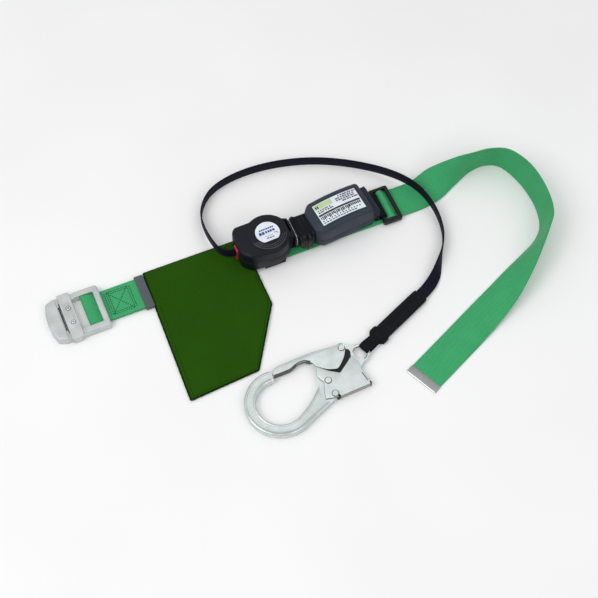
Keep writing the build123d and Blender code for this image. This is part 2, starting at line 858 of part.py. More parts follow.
# Ribbed boot at the rear, where the webbing comes out to the adjuster.
neck_top = 29.0
with BuildPart() as absorber_neck:
    with BuildSketch(absorber_plane.offset(case_low)):
        with Locations(((shell_right + neck_right) / 2, 0)):
            Rectangle(neck_right - shell_right, 50)
    extrude(amount=neck_top - case_low)
    ridge_edges = absorber_neck.edges().filter_by(Axis.Z)
    fillet(ridge_edges, radius=2.5)
    with BuildSketch(side_plane(absorber_plane)):
        with Locations((neck_right - 2, case_low + 4.1)):
            Rectangle(10, 8.0)
    extrude(amount=23.6, both=True, mode=Mode.SUBTRACT)
save(absorber_neck.part, "absorber_neck")

# ---------------------------------------------------------------- belt adjuster
slide_bar = 5.5
adjuster_half_length = 15.0
adjuster_rail = 5.0
adjuster_half_width = half_belt + 1.0 + adjuster_rail
adjuster_low = 3.6
adjuster_bar_low = 7.0
adjuster_top = 11.2

with BuildPart() as adjuster_frame:
    with BuildSketch(outfit.offset(adjuster_low)):
        with Locations((adjuster_u, 0)):
            RectangleRounded(2 * adjuster_half_length, 2 * adjuster_half_width, 3)
    extrude(amount=adjuster_top - adjuster_low)
    fillet(adjuster_frame.faces().sort_by(Axis.Z)[-1].edges(), radius=1.8)
    window = 2 * (adjuster_half_length - slide_bar)
    with BuildSketch(outfit.offset(adjuster_low)):
        with Locations((adjuster_u, 0)):
            Rectangle(window, belt_width + 1.6)
    extrude(amount=20, mode=Mode.SUBTRACT)
    with BuildSketch(outfit.offset(adjuster_low)):
        with Locations((adjuster_u, 0)):
            Rectangle(40, belt_width + 1.6)
    extrude(amount=adjuster_bar_low - adjuster_low, mode=Mode.SUBTRACT)
    with BuildSketch(side_plane(outfit)):
        with Locations((adjuster_u, 6.7)):
            RectangleRounded(4.0, 3.6, 1.2)
    extrude(amount=half_belt + 2, both=True)
save(adjuster_frame.part, "adjuster_frame")

# Webbing loop that ties the absorber to the adjuster's front bar.
with BuildPart() as absorber_end_loop:
    bar_mid_u = adjuster_u - adjuster_half_length + slide_bar / 2
    bar_mid_z = (adjuster_bar_low + adjuster_top) / 2
    bar_height = adjuster_top - adjuster_bar_low
    loop_wall = 1.25
    with BuildSketch(side_plane(outfit, 4.5)):
        with Locations((bar_mid_u - 3, bar_mid_z)):
            RectangleRounded(
                slide_bar + 6 + 2 * (0.3 + loop_wall), bar_height + 2 * (0.3 + loop_wall), 2.2
            )
        with Locations((bar_mid_u - 3, bar_mid_z)):
            RectangleRounded(slide_bar + 6.6, bar_height + 0.6, 0.3, mode=Mode.SUBTRACT)
    extrude(amount=18.5, both=True)
save(absorber_end_loop.part, "absorber_end_loop")

# ---------------------------------------------------------------- snap hook
hook_u = 30.8  # gate rivet
hook_v = -196.2
hook_plane = turned(outfit, hook_u, hook_v, hook_yaw)
hook_mid = 6.0
bow_centre = (-118.0, -23.0)
bow_outer = 50.0
bow_inner = 34.0
bow_half = 5.5
body_half = 4.0
web_half = 2.1
gate_inner = 2.4
lever_inner = 4.4
nose_angle = 72.0
heel_angle = -75.0
eye_centre = (17.5, -20.0)
eye_radius = 12.5
eye_rod = 2.2
rivet_radius = 2.5
lever_pivot = (-45.0, -32.5)
stop_pivot = (-48.0, -54.5)
gate_opening = 28.0
lever_travel = 8.0

gate_outline = [
    (-104.0, 17.2),
    (-99.0, 25.2),
    (-90.0, 26.0),
    (-41.0, 18.2),
    (-7.0, 8.2),
    (0.0, 7.4),
    (5.4, 3.6),
    (6.4, -3.0),
    (-0.5, -13.5),
    (-21.0, -26.5),
    (-35.0, -17.5),
    (-46.0, -4.0),
    (-47.5, 5.0),
    (-54.5, 11.2),
    (-65.0, 13.6),
    (-79.0, 11.4),
    (-98.0, 14.6),
]
gate_wall_line = [
    (-103.0, 16.9),
    (-98.0, 15.4),
    (-79.0, 12.2),
    (-65.0, 14.4),
    (-54.0, 12.0),
    (-48.5, 7.0),
]
lever_outline = [
    (-47.0, -5.5),
    (-37.0, -19.5),
    (-24.5, -32.0),
    (-8.0, -24.5),
    (4.0, -18.5),
    (7.0, -30.0),
    (3.7, -44.0),
    (3.0, -69.0),
    (-46.0, -61.5),
    (-64.0, -54.0),
    (-58.0, -42.0),
    (-51.0, -31.0),
    (-54.6, -18.5),
]
lever_wall_outline = [(3.0, -69.0), (-44.0, -61.8), (-43.9, -60.1), (3.05, -67.2)]
body_outline = [
    (-114.0, -72.8),
    (-45.0, -58.5),
    (-12.0, -51.0),
    (5.0, -40.0),
    (16.0, -33.5),
    (16.0, -6.5),
    (5.0, 6.0),
    (-8.0, 2.5),
    (-38.0, -14.0),
    (-51.0, -24.0),
    (-66.0, -35.5),
    (-86.0, -47.5),
    (-109.0, -56.0),
]


def turned_about(points, centre, angle):
    """Plan points turned about a centre by an angle in degrees."""
    cosine = cos(radians(angle))
    sine = sin(radians(angle))
    result = []
    for x, y in points:
        dx = x - centre[0]
        dy = y - centre[1]
        result.append((centre[0] + dx * cosine - dy * sine, centre[1] + dx * sine + dy * cosine))
    return result


def hook_level(height):
    """Plane of the hook at a height from the middle of its thickness."""
    return hook_plane.offset(hook_mid + height)


def bow_point(radius, angle):
    """Point of the bow at a radius and angle."""
    return (
        bow_centre[0] + radius * cos(radians(angle)),
        bow_centre[1] + radius * sin(radians(angle)),
    )


eye_middle = hook_level(0).from_local_coords(Vector(*eye_centre, 0))
eye_section = Plane(
    origin=hook_level(0).from_local_coords(Vector(eye_centre[0] + eye_radius, eye_centre[1], 0)),
    x_dir=hook_plane.x_dir,
    z_dir=-hook_plane.y_dir,
)

with BuildPart() as hook_body:
    with BuildSketch(hook_level(-bow_half)):
        with BuildLine():
            outer_nose = bow_point(bow_outer, nose_angle)
            inner_nose = bow_point(bow_inner, nose_angle)
            outer_heel = bow_point(bow_outer, heel_angle)
            inner_heel = bow_point(bow_inner, heel_angle)
            ThreePointArc(outer_nose, bow_point(bow_outer, 180), outer_heel)
            Line(outer_heel, inner_heel)
            ThreePointArc(inner_heel, bow_point(bow_inner, 180), inner_nose)
            Line(inner_nose, outer_nose)
        make_face()
    extrude(amount=2 * bow_half)
    fillet(hook_body.edges().filter_by(GeomType.CIRCLE), radius=2.2)
    with BuildSketch(hook_level(-body_half)):
        Polygon(*body_outline, align=None)
        Circle(8.0)
        with Locations(eye_centre):
            Circle(eye_radius - eye_rod, mode=Mode.SUBTRACT)
    extrude(amount=2 * body_half)
    with BuildSketch(eye_section):
        Circle(eye_rod)
    revolve(axis=Axis(eye_middle, (0, 0, 1)))
    # Room for the gate's cheeks over its whole swing, on both faces.
    for low, high in ((web_half, 9.0), (-9.0, -web_half)):
        with BuildSketch(hook_level(low)):
            for step in range(8):
                angle = gate_opening * step / 7
                Polygon(*turned_about(gate_outline, (0, 0), angle), align=None)
            offset(amount=0.7, kind=Kind.ARC)
        extrude(amount=high - low, mode=Mode.SUBTRACT)
    # Rivet holes, stop slot and spring seats.
    with BuildSketch(hook_level(-9)):
        Circle(rivet_radius)
        with Locations(lever_pivot):
            Circle(rivet_radius)
        for step in range(9):
            with Locations(*turned_about([stop_pivot], lever_pivot, lever_travel * step / 8)):
                Circle(rivet_radius + 0.5)
    extrude(amount=18, mode=Mode.SUBTRACT)
    with BuildSketch(hook_level(0.1)):
        Circle(5.6)
    extrude(amount=8, mode=Mode.SUBTRACT)
    with BuildSketch(hook_level(1.4)):
        with Locations(lever_pivot):
            Circle(6.0)
    extrude(amount=8, mode=Mode.SUBTRACT)
save(hook_body.part, "hook_body")

with BuildPart() as hook_gate:
    for low in (gate_inner, -gate_inner - sheet_thick + 0.1):
        with BuildSketch(hook_level(low)):
            Polygon(*gate_outline, align=None)
            Circle(rivet_radius + 0.06, mode=Mode.SUBTRACT)
        extrude(amount=sheet_thick - 0.1)
    with BuildSketch(hook_level(-gate_inner - 0.2)):
        with BuildLine():
            Polyline(*gate_wall_line)
            offset(amount=0.8, side=Side.BOTH, kind=Kind.ARC)
        make_face()
    extrude(amount=2 * gate_inner + 0.4)
save(hook_gate.part, "hook_gate")

with BuildPart() as safety_lever:
    for low in (lever_inner, -lever_inner - sheet_thick + 0.1):
        with BuildSketch(hook_level(low)):
            Polygon(*lever_outline, align=None)
            with Locations(lever_pivot, stop_pivot):
                Circle(rivet_radius + 0.06, mode=Mode.SUBTRACT)
        extrude(amount=sheet_thick - 0.1)
    with BuildSketch(hook_level(-lever_inner - 0.2)):
        Polygon(*lever_wall_outline, align=None)
    extrude(amount=2 * lever_inner + 0.4)
save(safety_lever.part, "safety_lever")

with BuildPart() as gate_rivet:
    with BuildSketch(hook_level(-lever_inner - 1.4)):
        Circle(rivet_radius)
    extrude(amount=2 * lever_inner + 1.4)
    with BuildSketch(hook_level(gate_inner + sheet_thick)):
        Circle(4.6)
    extrude(amount=1.9)
    with BuildSketch(hook_level(-lever_inner - 1.5)):
        Circle(4.6)
    extrude(amount=1.7)
    fillet(gate_rivet.faces().sort_by(Axis.Z)[-1].edges(), radius=0.8)
save(gate_rivet.part, "gate_rivet")

for label, pivot in (("lever_rivet", lever_pivot), ("stop_rivet", stop_pivot)):
    with BuildPart() as rivet:
        with BuildSketch(hook_level(-lever_inner - 1.4)):
            with Locations(pivot):
                Circle(rivet_radius)
        extrude(amount=2 * lever_inner + 1.4 + sheet_thick)
        with BuildSketch(hook_level(lever_inner + sheet_thick)):
            with Locations(pivot):
                Circle(4.4)
        extrude(amount=1.6)
        fillet(rivet.faces().sort_by(Axis.Z)[-1].edges(), radius=0.8)
    save(rivet.part, label)

with BuildPart() as gate_spring:
    with BuildSketch(hook_level(0.2)):
        Circle(5.2)
        Circle(rivet_radius + 0.3, mode=Mode.SUBTRACT)
    extrude(amount=1.9)
save(gate_spring.part, "gate_spring")

with BuildPart() as lever_spring:
    with BuildSketch(hook_level(1.5)):
        with Locations(lever_pivot):
            Circle(5.4)
            Circle(rivet_radius + 0.3, mode=Mode.SUBTRACT)
    extrude(amount=2.6)
save(lever_spring.part, "lever_spring")

# ---------------------------------------------------------------- lanyard end
rim_angle = lanyard_yaw - hook_yaw
rim_point = (
    eye_centre[0] + eye_radius * cos(radians(rim_angle)),
    eye_centre[1] + eye_radius * sin(radians(rim_angle)),
)
rim_world = hook_plane.from_local_coords(Vector(*rim_point, 0))
lanyard_plane = turned(Plane(origin=rim_world), 0, 0, lanyard_yaw)
loop_inner = 4.35
loop_outer = 5.8
end_loop_width = 12.0
sleeve_start = 20.0
sleeve_end = 118.0
sleeve_low = 1.0
sleeve_high = 8.6
sleeve_mid = (sleeve_low + sleeve_high) / 2

with BuildPart() as strap_end_loop:
    with BuildSketch(side_plane(lanyard_plane)):
        with Locations((0, hook_mid)):
            Circle(loop_outer)
        with Locations((sleeve_start - 0.5, sleeve_mid)):
            Rectangle(1, 6.4)
        make_hull()
        with BuildSketch(mode=Mode.SUBTRACT):
            with Locations((0, hook_mid)):
                Circle(loop_inner)
            with Locations((sleeve_start - 4, sleeve_mid)):
                Rectangle(1, 2.4)
            make_hull()
    extrude(amount=end_loop_width / 2, both=True)
save(strap_end_loop.part, "strap_end_loop")

with BuildPart() as strap_sleeve:
    with BuildSketch(side_plane(lanyard_plane)):
        with Locations(((sleeve_start + sleeve_end) / 2, sleeve_mid)):
            Rectangle(sleeve_end - sleeve_start, sleeve_high - sleeve_low)
    extrude(amount=sleeve_width / 2, both=True)
    fillet(strap_sleeve.edges().filter_by(GeomType.LINE).group_by(SortBy.LENGTH)[-1], radius=1.8)
save(strap_sleeve.part, "strap_sleeve")

with BuildPart() as strap_keeper_band:
    band_start = sleeve_start + 1.5
    band_plane = Plane(
        origin=lanyard_plane.from_local_coords(Vector(band_start, 0, sleeve_mid)),
        x_dir=-lanyard_plane.y_dir,
        z_dir=lanyard_plane.x_dir,
    )
    with BuildSketch(band_plane):
        RectangleRounded(28, 9.4, 2.2)
        Rectangle(sleeve_width + 0.2, sleeve_high - sleeve_low + 0.2, mode=Mode.SUBTRACT)
    extrude(amount=13)
save(strap_keeper_band.part, "strap_keeper_band")

# ---------------------------------------------------------------- lanyard strap
strap_lie = strap_width / 2 + 0.2  # middle of the strap when it stands on its edge
# Route from the reel's outlet, over the belt and back to the sleeve.
lanyard_route = [
    (-44.0, 1.0, strap_mid),
    (-60.0, 2.5, strap_mid),
    (-70.5, 13.0, strap_mid - 0.5),
    (-74.5, 32.0, strap_mid - 2.5),
    (-76.0, 60.0, 13.0),
    (-72.0, 92.0, strap_lie + 0.2),
    (-47.5, 122.0, strap_lie),
    (-12.0, 134.0, strap_lie),
    (30.0, 136.5, strap_lie),
    (75.0, 130.5, strap_lie),
    (122.0, 116.0, strap_lie),
    (166.0, 92.5, strap_lie + 0.2),
    (205.0, 61.5, 11.5),
    (230.0, 30.0, 17.0),
    (245.5, 2.0, 17.0),
    (252.5, -27.0, 13.0),
    (253.0, -55.0, strap_lie + 0.3),
    (245.0, -86.0, strap_lie),
    (223.5, -118.0, strap_lie),
    (197.5, -149.2, strap_lie),
]


def route_points():
    """Route of the strap in the outfit's frame, ended at the sleeve."""
    points = [outfit.from_local_coords(Vector(*point)) for point in lanyard_route]
    end_point = lanyard_plane.from_local_coords(Vector(sleeve_end + 0.1, 0, strap_lie))
    return points + [end_point]


def bend_radii(points):
    """Radius of each bend, as large as its two runs allow."""
    radii = []
    for before, corner, after in zip(points, points[1:], points[2:]):
        run_in = corner - before
        run_out = after - corner
        half_turn = radians(run_in.get_angle(run_out)) / 2
        radii.append(0.45 * min(run_in.length, run_out.length) / tan(half_turn))
    return radii


strap_points = route_points()
strap_radii = bend_radii(strap_points)
print("lanyard bend radii:", [round(radius) for radius in strap_radii])

with BuildPart() as lanyard_strap:
    with BuildLine() as strap_path:
        FilletPolyline(*strap_points, radius=strap_radii)
    with BuildSketch(Plane(origin=strap_points[0], x_dir=(0, 1, 0), z_dir=(-1, 0, 0))):
        Rectangle(strap_thick, strap_width)
    sweep()
strap_length = sum(edge.length for edge in strap_path.line.edges())
strap_volume = strap_thick * strap_width * strap_length
print("lanyard strap length:", round(strap_length, 1))
print("strap volume over section x length:", round(lanyard_strap.part.volume / strap_volume, 4))
save(lanyard_strap.part, "lanyard_strap")
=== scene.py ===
"""Waist work belt with a self retracting lanyard: its visible pieces, finishes and studio."""

import sys

import json
import logging
from dataclasses import dataclass
from enum import Enum
from math import atan2, cos, degrees, pi, radians, sin, sqrt

import bmesh
import bpy
from mathutils import Matrix, Vector


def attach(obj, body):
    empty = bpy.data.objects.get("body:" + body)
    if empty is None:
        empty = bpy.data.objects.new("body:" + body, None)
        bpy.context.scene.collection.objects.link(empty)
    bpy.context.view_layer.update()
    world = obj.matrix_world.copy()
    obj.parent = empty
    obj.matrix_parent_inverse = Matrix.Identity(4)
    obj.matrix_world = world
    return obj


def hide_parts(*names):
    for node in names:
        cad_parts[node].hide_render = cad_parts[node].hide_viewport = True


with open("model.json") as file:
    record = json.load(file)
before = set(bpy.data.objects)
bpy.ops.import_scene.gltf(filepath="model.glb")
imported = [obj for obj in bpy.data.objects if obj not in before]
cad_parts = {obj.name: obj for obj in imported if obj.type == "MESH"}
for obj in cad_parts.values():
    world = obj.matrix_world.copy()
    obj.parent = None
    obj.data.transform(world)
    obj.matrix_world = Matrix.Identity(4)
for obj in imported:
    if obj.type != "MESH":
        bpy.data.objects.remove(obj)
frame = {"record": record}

MM = 0.001
LOG = logging.getLogger("belt_outfit")
Colour = tuple[float, float, float]
Flat = tuple[float, float]


class Body(Enum):
    """Moving bodies that the pieces ride on."""

    ROOT = "root"
    SLIDER = "slider"
    KEEPER = "keeper"
    POUCH = "pouch"
    HOOK = "hook"
    GATE = "gate"
    LEVER = "lever"


class Coordinates(Enum):
    """Where a finish reads its place from."""

    OBJECT = "Object"
    CLOTH = "UV"


# ---------------------------------------------------------------- datums
@dataclass(frozen=True)
class Datum:
    """Flat reference frame, in millimetres, turned about the vertical."""

    x: float
    y: float
    z: float = 0.0
    yaw: float = 0.0

    def point(self, u: float, v: float, z: float = 0.0) -> Vector:
        """Give a point of this frame in metres of the whole outfit.

        Args:
            u: Distance along the frame's own X, in millimetres.
            v: Distance along the frame's own Y, in millimetres.
            z: Height above the frame, in millimetres.

        Returns:
            The point in metres.
        """
        turn = radians(self.yaw)
        return Vector(
            (
                (self.x + u * cos(turn) - v * sin(turn)) * MM,
                (self.y + u * sin(turn) + v * cos(turn)) * MM,
                (self.z + z) * MM,
            )
        )

    def turned(self, u: float, v: float, yaw: float, z: float = 0.0) -> "Datum":
        """Give a frame at a point of this one, turned further.

        Args:
            u: Distance along this frame's X.
            v: Distance along this frame's Y.
            yaw: Further turn in degrees.
            z: Height above this frame.

        Returns:
            The new frame.
        """
        origin = self.point(u, v, z) / MM
        return Datum(origin.x, origin.y, origin.z, self.yaw + yaw)

    def matrix(self) -> Matrix:
        """Give the matrix that takes millimetres of this frame to metres of the outfit.

        Returns:
            The matrix.
        """
        move = Matrix.Translation(Vector((self.x, self.y, self.z)) * MM)
        return move @ Matrix.Rotation(radians(self.yaw), 4, "Z") @ Matrix.Scale(MM, 4)


OUTFIT = Datum(-34.94, 134.87)
ABSORBER = OUTFIT.turned(113.0, 1.5, 5.0)
HOOK = OUTFIT.turned(30.8, -196.2, 11.0, 6.0)
LANYARD_YAW = 23.5
GATE_PIVOT = (0.0, 0.0)
LEVER_PIVOT = (-45.0, -32.5)
LEVER_STOP = (-48.0, -54.5)
EYE_CENTRE = (17.5, -20.0)
EYE_RADIUS = 12.5
LANYARD = HOOK.turned(
    EYE_CENTRE[0] + EYE_RADIUS * cos(radians(LANYARD_YAW - HOOK.yaw)),
    EYE_CENTRE[1] + EYE_RADIUS * sin(radians(LANYARD_YAW - HOOK.yaw)),
    LANYARD_YAW - HOOK.yaw,
    -6.0,
)


# ---------------------------------------------------------------- finishes
class Graph:
    """Small builder of a procedural finish's nodes."""

    def __init__(self, name: str, coordinates: Coordinates) -> None:
        """Start a finish with its shader and its place reader.

        Args:
            name: Name of the finish.
            coordinates: Where its patterns read their place from.
        """
        self.material = bpy.data.materials.new(name)
        self.material.use_nodes = True
        self.tree = self.material.node_tree
        self.shader = self.tree.nodes["Principled BSDF"]
        place = self.tree.nodes.new("ShaderNodeTexCoord")
        self.place = place.outputs[coordinates.value]

    def node(self, kind: str, **settings: object) -> bpy.types.Node:
        """Add a node and set its own properties.

        Args:
            kind: Blender's name of the node.
            **settings: Properties of the node.

        Returns:
            The node.
        """
        node = self.tree.nodes.new(kind)
        for key, value in settings.items():
            setattr(node, key, value)
        return node

    def join(self, source: bpy.types.NodeSocket, target: bpy.types.NodeSocket) -> None:
        """Link one socket to another.

        Args:
            source: Socket that gives the value.
            target: Socket that takes it.
        """
        self.tree.links.new(source, target)

    def mapped(self, scale: tuple[float, float, float], turn: float = 0.0) -> bpy.types.NodeSocket:
        """Give the place scaled, and turned about Z.

        Args:
            scale: Scale along each axis.
            turn: Turn in degrees.

        Returns:
            The mapped place.
        """
        mapping = self.node("ShaderNodeMapping")
        mapping.inputs["Scale"].default_value = scale
        mapping.inputs["Rotation"].default_value = (0.0, 0.0, radians(turn))
        self.join(self.place, mapping.inputs["Vector"])
        return mapping.outputs["Vector"]

    def noise(
        self, scale: float, detail: float = 3.0, place: bpy.types.NodeSocket | None = None
    ) -> bpy.types.NodeSocket:
        """Give a noise value.

        Args:
            scale: Grains per metre.
            detail: Octaves.
            place: Place that it reads, or None for the plain one.

        Returns:
            The noise's value.
        """
        noise = self.node("ShaderNodeTexNoise")
        noise.inputs["Scale"].default_value = scale
        noise.inputs["Detail"].default_value = detail
        self.join(place or self.place, noise.inputs["Vector"])
        return noise.outputs["Fac"]

    def wave(
        self,
        place: bpy.types.NodeSocket,
        pitch: float,
        direction: str,
        distortion: float = 0.0,
        profile: str = "SIN",
    ) -> bpy.types.NodeSocket:
        """Give bands of a wave.

        Args:
            place: Place that it reads.
            pitch: Width of a band in metres.
            direction: Axis that the bands follow one another along.
            distortion: How far noise bends the bands.
            profile: Shape of a band.

        Returns:
            The wave's value.
        """
        wave = self.node(
            "ShaderNodeTexWave", bands_direction=direction, wave_profile=profile
        )
        # A band of Blender's wave is 2 pi / 20 of a unit wide.
        wave.inputs["Scale"].default_value = 2 * pi / 20 / pitch
        wave.inputs["Distortion"].default_value = distortion
        self.join(place, wave.inputs["Vector"])
        return wave.outputs["Fac"]

    def maths(
        self, operation: str, first: bpy.types.NodeSocket, second: bpy.types.NodeSocket | float
    ) -> bpy.types.NodeSocket:
        """Combine two values.

        Args:
            operation: Blender's name of the operation.
            first: First value.
            second: Second value, a socket or a number.

        Returns:
            The result.
        """
        node = self.node("ShaderNodeMath", operation=operation)
        self.join(first, node.inputs[0])
        if isinstance(second, float):
            node.inputs[1].default_value = second
        else:
            self.join(second, node.inputs[1])
        return node.outputs[0]

    def ramp(
        self, value: bpy.types.NodeSocket, stops: list[tuple[float, Colour]]
    ) -> bpy.types.NodeSocket:
        """Turn a value into a colour.

        Args:
            value: The value.
            stops: Places and colours, in order.

        Returns:
            The colour.
        """
        ramp = self.node("ShaderNodeValToRGB")
        elements = ramp.color_ramp.elements
        while len(elements) < len(stops):
            elements.new(0.5)
        for element, (place, colour) in zip(elements, stops):
            element.position = place
            element.color = (*colour, 1.0)
        self.join(value, ramp.inputs["Fac"])
        return ramp.outputs["Color"]

    def levels(
        self, value: bpy.types.NodeSocket, low: float, high: float
    ) -> bpy.types.NodeSocket:
        """Stretch a value from 0..1 to low..high.

        Args:
            value: The value.
            low: What 0 becomes.
            high: What 1 becomes.

        Returns:
            The stretched value.
        """
        spread = self.node("ShaderNodeMapRange")
        spread.inputs["To Min"].default_value = low
        spread.inputs["To Max"].default_value = high
        self.join(value, spread.inputs["Value"])
        return spread.outputs["Result"]

    def colour(self, source: bpy.types.NodeSocket) -> None:
        """Use a colour as the finish's base colour.

        Args:
            source: Socket that gives the colour.
        """
        self.join(source, self.shader.inputs["Base Color"])

    def roughness(self, source: bpy.types.NodeSocket) -> None:
        """Use a value as the finish's roughness.

        Args:
            source: Socket that gives the value.
        """
        self.join(source, self.shader.inputs["Roughness"])

    def relief(self, height: bpy.types.NodeSocket, depth: float, strength: float = 1.0) -> None:
        """Use a height as the finish's relief.

        Args:
            height: Height from 0 to 1.
            depth: Depth of the relief in metres.
            strength: Strength of the relief.
        """
        bump = self.node("ShaderNodeBump")
        bump.inputs["Strength"].default_value = strength
        bump.inputs["Distance"].default_value = depth
        self.join(height, bump.inputs["Height"])
        self.join(bump.outputs["Normal"], self.shader.inputs["Normal"])


def scaled(colour: Colour, factor: float) -> Colour:
    """Give a colour made lighter or darker.

    Args:
        colour: The colour.
        factor: What it is multiplied by.

    Returns:
        The new colour.
    """
    return (colour[0] * factor, colour[1] * factor, colour[2] * factor)


@dataclass(frozen=True)
class Webbing:
    """Woven strap: chevrons of yarn across its width, darker between the yarns."""

    name: str
    yarn: Colour
    shade: Colour
    pitch: float = 1.5 * MM
    chevron: float = 8.0 * MM
    rough: float = 0.72
    sheen: float = 0.15
    gloss: float = 0.25

    def build(self) -> bpy.types.Material:
        """Make the finish, on the cloth's own map in metres.

        Returns:
            The material.
        """
        graph = Graph(self.name, Coordinates.CLOTH)
        split = graph.node("ShaderNodeSeparateXYZ")
        graph.join(graph.place, split.inputs[0])
        # A triangle wave across the width leans the yarns one way and then the other.
        lean = graph.maths("PINGPONG", split.outputs["X"], self.chevron / 2)
        along = graph.maths("ADD", split.outputs["Y"], lean)
        joined = graph.node("ShaderNodeCombineXYZ")
        graph.join(along, joined.inputs["Y"])
        graph.join(split.outputs["X"], joined.inputs["X"])
        yarns = graph.wave(joined.outputs[0], self.pitch, "Y", 0.4)
        ribs = graph.wave(graph.place, self.pitch * 0.9, "X", 0.3)
        weave = graph.maths("MULTIPLY", graph.levels(yarns, 0.25, 1.0), graph.levels(ribs, 0.6, 1.0))
        cloud = graph.noise(28.0, 4.0)
        shade = graph.maths("MULTIPLY", weave, graph.levels(cloud, 0.75, 1.2))
        graph.colour(
            graph.ramp(shade, [(0.2, self.shade), (0.62, self.yarn), (0.95, scaled(self.yarn, 1.3))])
        )
        graph.roughness(graph.levels(cloud, self.rough - 0.08, self.rough + 0.1))
        graph.relief(weave, 0.25 * MM, 0.8)
        graph.shader.inputs["Sheen Weight"].default_value = self.sheen
        graph.shader.inputs["Sheen Roughness"].default_value = 0.4
        graph.shader.inputs["Specular IOR Level"].default_value = self.gloss
        return graph.material


@dataclass(frozen=True)
class Canvas:
    """Twill canvas: fine slanted ridges with soft patches of lighter and darker dye."""

    name: str
    thread: Colour
    shade: Colour
    pitch: float = 1.7 * MM
    slant: float = 38.0

    def build(self) -> bpy.types.Material:
        """Make the finish, on the cloth's own map in metres.

        Returns:
            The material.
        """
        graph = Graph(self.name, Coordinates.CLOTH)
        twill = graph.wave(graph.mapped((1.0, 1.0, 1.0), self.slant), self.pitch, "X", 0.7)
        weft = graph.wave(graph.mapped((1.0, 1.0, 1.0), self.slant - 78), self.pitch * 0.8, "X", 0.5)
        weave = graph.maths("MULTIPLY", graph.levels(twill, 0.3, 1.0), graph.levels(weft, 0.6, 1.0))
        cloud = graph.noise(16.0, 5.0)
        shade = graph.maths("MULTIPLY", weave, graph.levels(cloud, 0.7, 1.25))
        graph.colour(
            graph.ramp(shade, [(0.05, self.shade), (0.6, self.thread), (1.0, scaled(self.thread, 1.5))])
        )
        graph.roughness(graph.levels(cloud, 0.82, 0.95))
        graph.relief(weave, 0.3 * MM, 0.85)
        graph.shader.inputs["Sheen Weight"].default_value = 0.02
        graph.shader.inputs["Specular IOR Level"].default_value = 0.08
        return graph.material


@dataclass(frozen=True)
class Metal:
    """Metal: a fine grain, brushed or cast, with soft stains and duller patches."""

    name: str
    base: Colour
    rough: float
    grain: float = 900.0
    stretch: tuple[float, float, float] = (1.0, 1.0, 1.0)
    depth: float = 0.03 * MM
    metallic: float = 1.0
    stain: float = 0.85

    def build(self) -> bpy.types.Material:
        """Make the finish, on the outfit's own place.

        Returns:
            The material.
        """
        graph = Graph(self.name, Coordinates.OBJECT)
        grain = graph.noise(self.grain, 4.0, graph.mapped(self.stretch, HOOK.yaw))
        cloud = graph.noise(60.0, 5.0)
        graph.colour(
            graph.ramp(
                cloud,
                [(0.3, scaled(self.base, self.stain)), (0.62, self.base), (1.0, scaled(self.base, 1.06))],
            )
        )
        both = graph.maths("ADD", graph.levels(grain, -0.06, 0.06), graph.levels(cloud, -0.07, 0.07))
        graph.roughness(graph.maths("ADD", both, self.rough))
        graph.relief(grain, self.depth, 0.6)
        graph.shader.inputs["Metallic"].default_value = self.metallic
        return graph.material


@dataclass(frozen=True)
class Moulding:
    """Moulded plastic or rubber: a fine spark texture, scuffs and dusty patches."""

    name: str
    base: Colour
    dust: Colour
    rough: float = 0.5
    grain: float = 1500.0
    depth: float = 0.06 * MM
    coat: float = 0.0
    gloss: float = 0.22

    def build(self) -> bpy.types.Material:
        """Make the finish, on the outfit's own place.

        Returns:
            The material.
        """
        graph = Graph(self.name, Coordinates.OBJECT)
        grain = graph.noise(self.grain, 2.0)
        cloud = graph.noise(45.0, 6.0)
        scuffs = graph.noise(260.0, 3.0, graph.mapped((1.0, 7.0, 2.0), 35.0))
        worn = graph.maths("MULTIPLY", cloud, graph.levels(scuffs, 0.7, 1.25))
        graph.colour(graph.ramp(worn, [(0.3, self.base), (0.62, scaled(self.base, 1.2)), (0.85, self.dust)]))
        graph.roughness(graph.levels(worn, self.rough + 0.12, self.rough - 0.1))
        graph.relief(graph.maths("ADD", grain, graph.levels(scuffs, 0.0, 0.35)), self.depth, 0.5)
        graph.shader.inputs["Specular IOR Level"].default_value = self.gloss
        graph.shader.inputs["Coat Weight"].default_value = self.coat
        graph.shader.inputs["Coat Roughness"].default_value = 0.25
        return graph.material


@dataclass(frozen=True)
class Vinyl:
    """Printed label: a smooth film, very slightly rippled and yellowed."""

    name: str
    base: Colour
    rough: float = 0.35

    def build(self) -> bpy.types.Material:
        """Make the finish, on the outfit's own place.

        Returns:
            The material.
        """
        graph = Graph(self.name, Coordinates.OBJECT)
        cloud = graph.noise(70.0, 4.0)
        graph.colour(
            graph.ramp(
                cloud, [(0.25, scaled(self.base, 0.88)), (0.6, self.base), (1.0, scaled(self.base, 1.05))]
            )
        )
        graph.roughness(graph.levels(cloud, self.rough - 0.08, self.rough + 0.12))
        graph.relief(graph.noise(140.0, 2.0), 0.05 * MM, 0.4)
        return graph.material


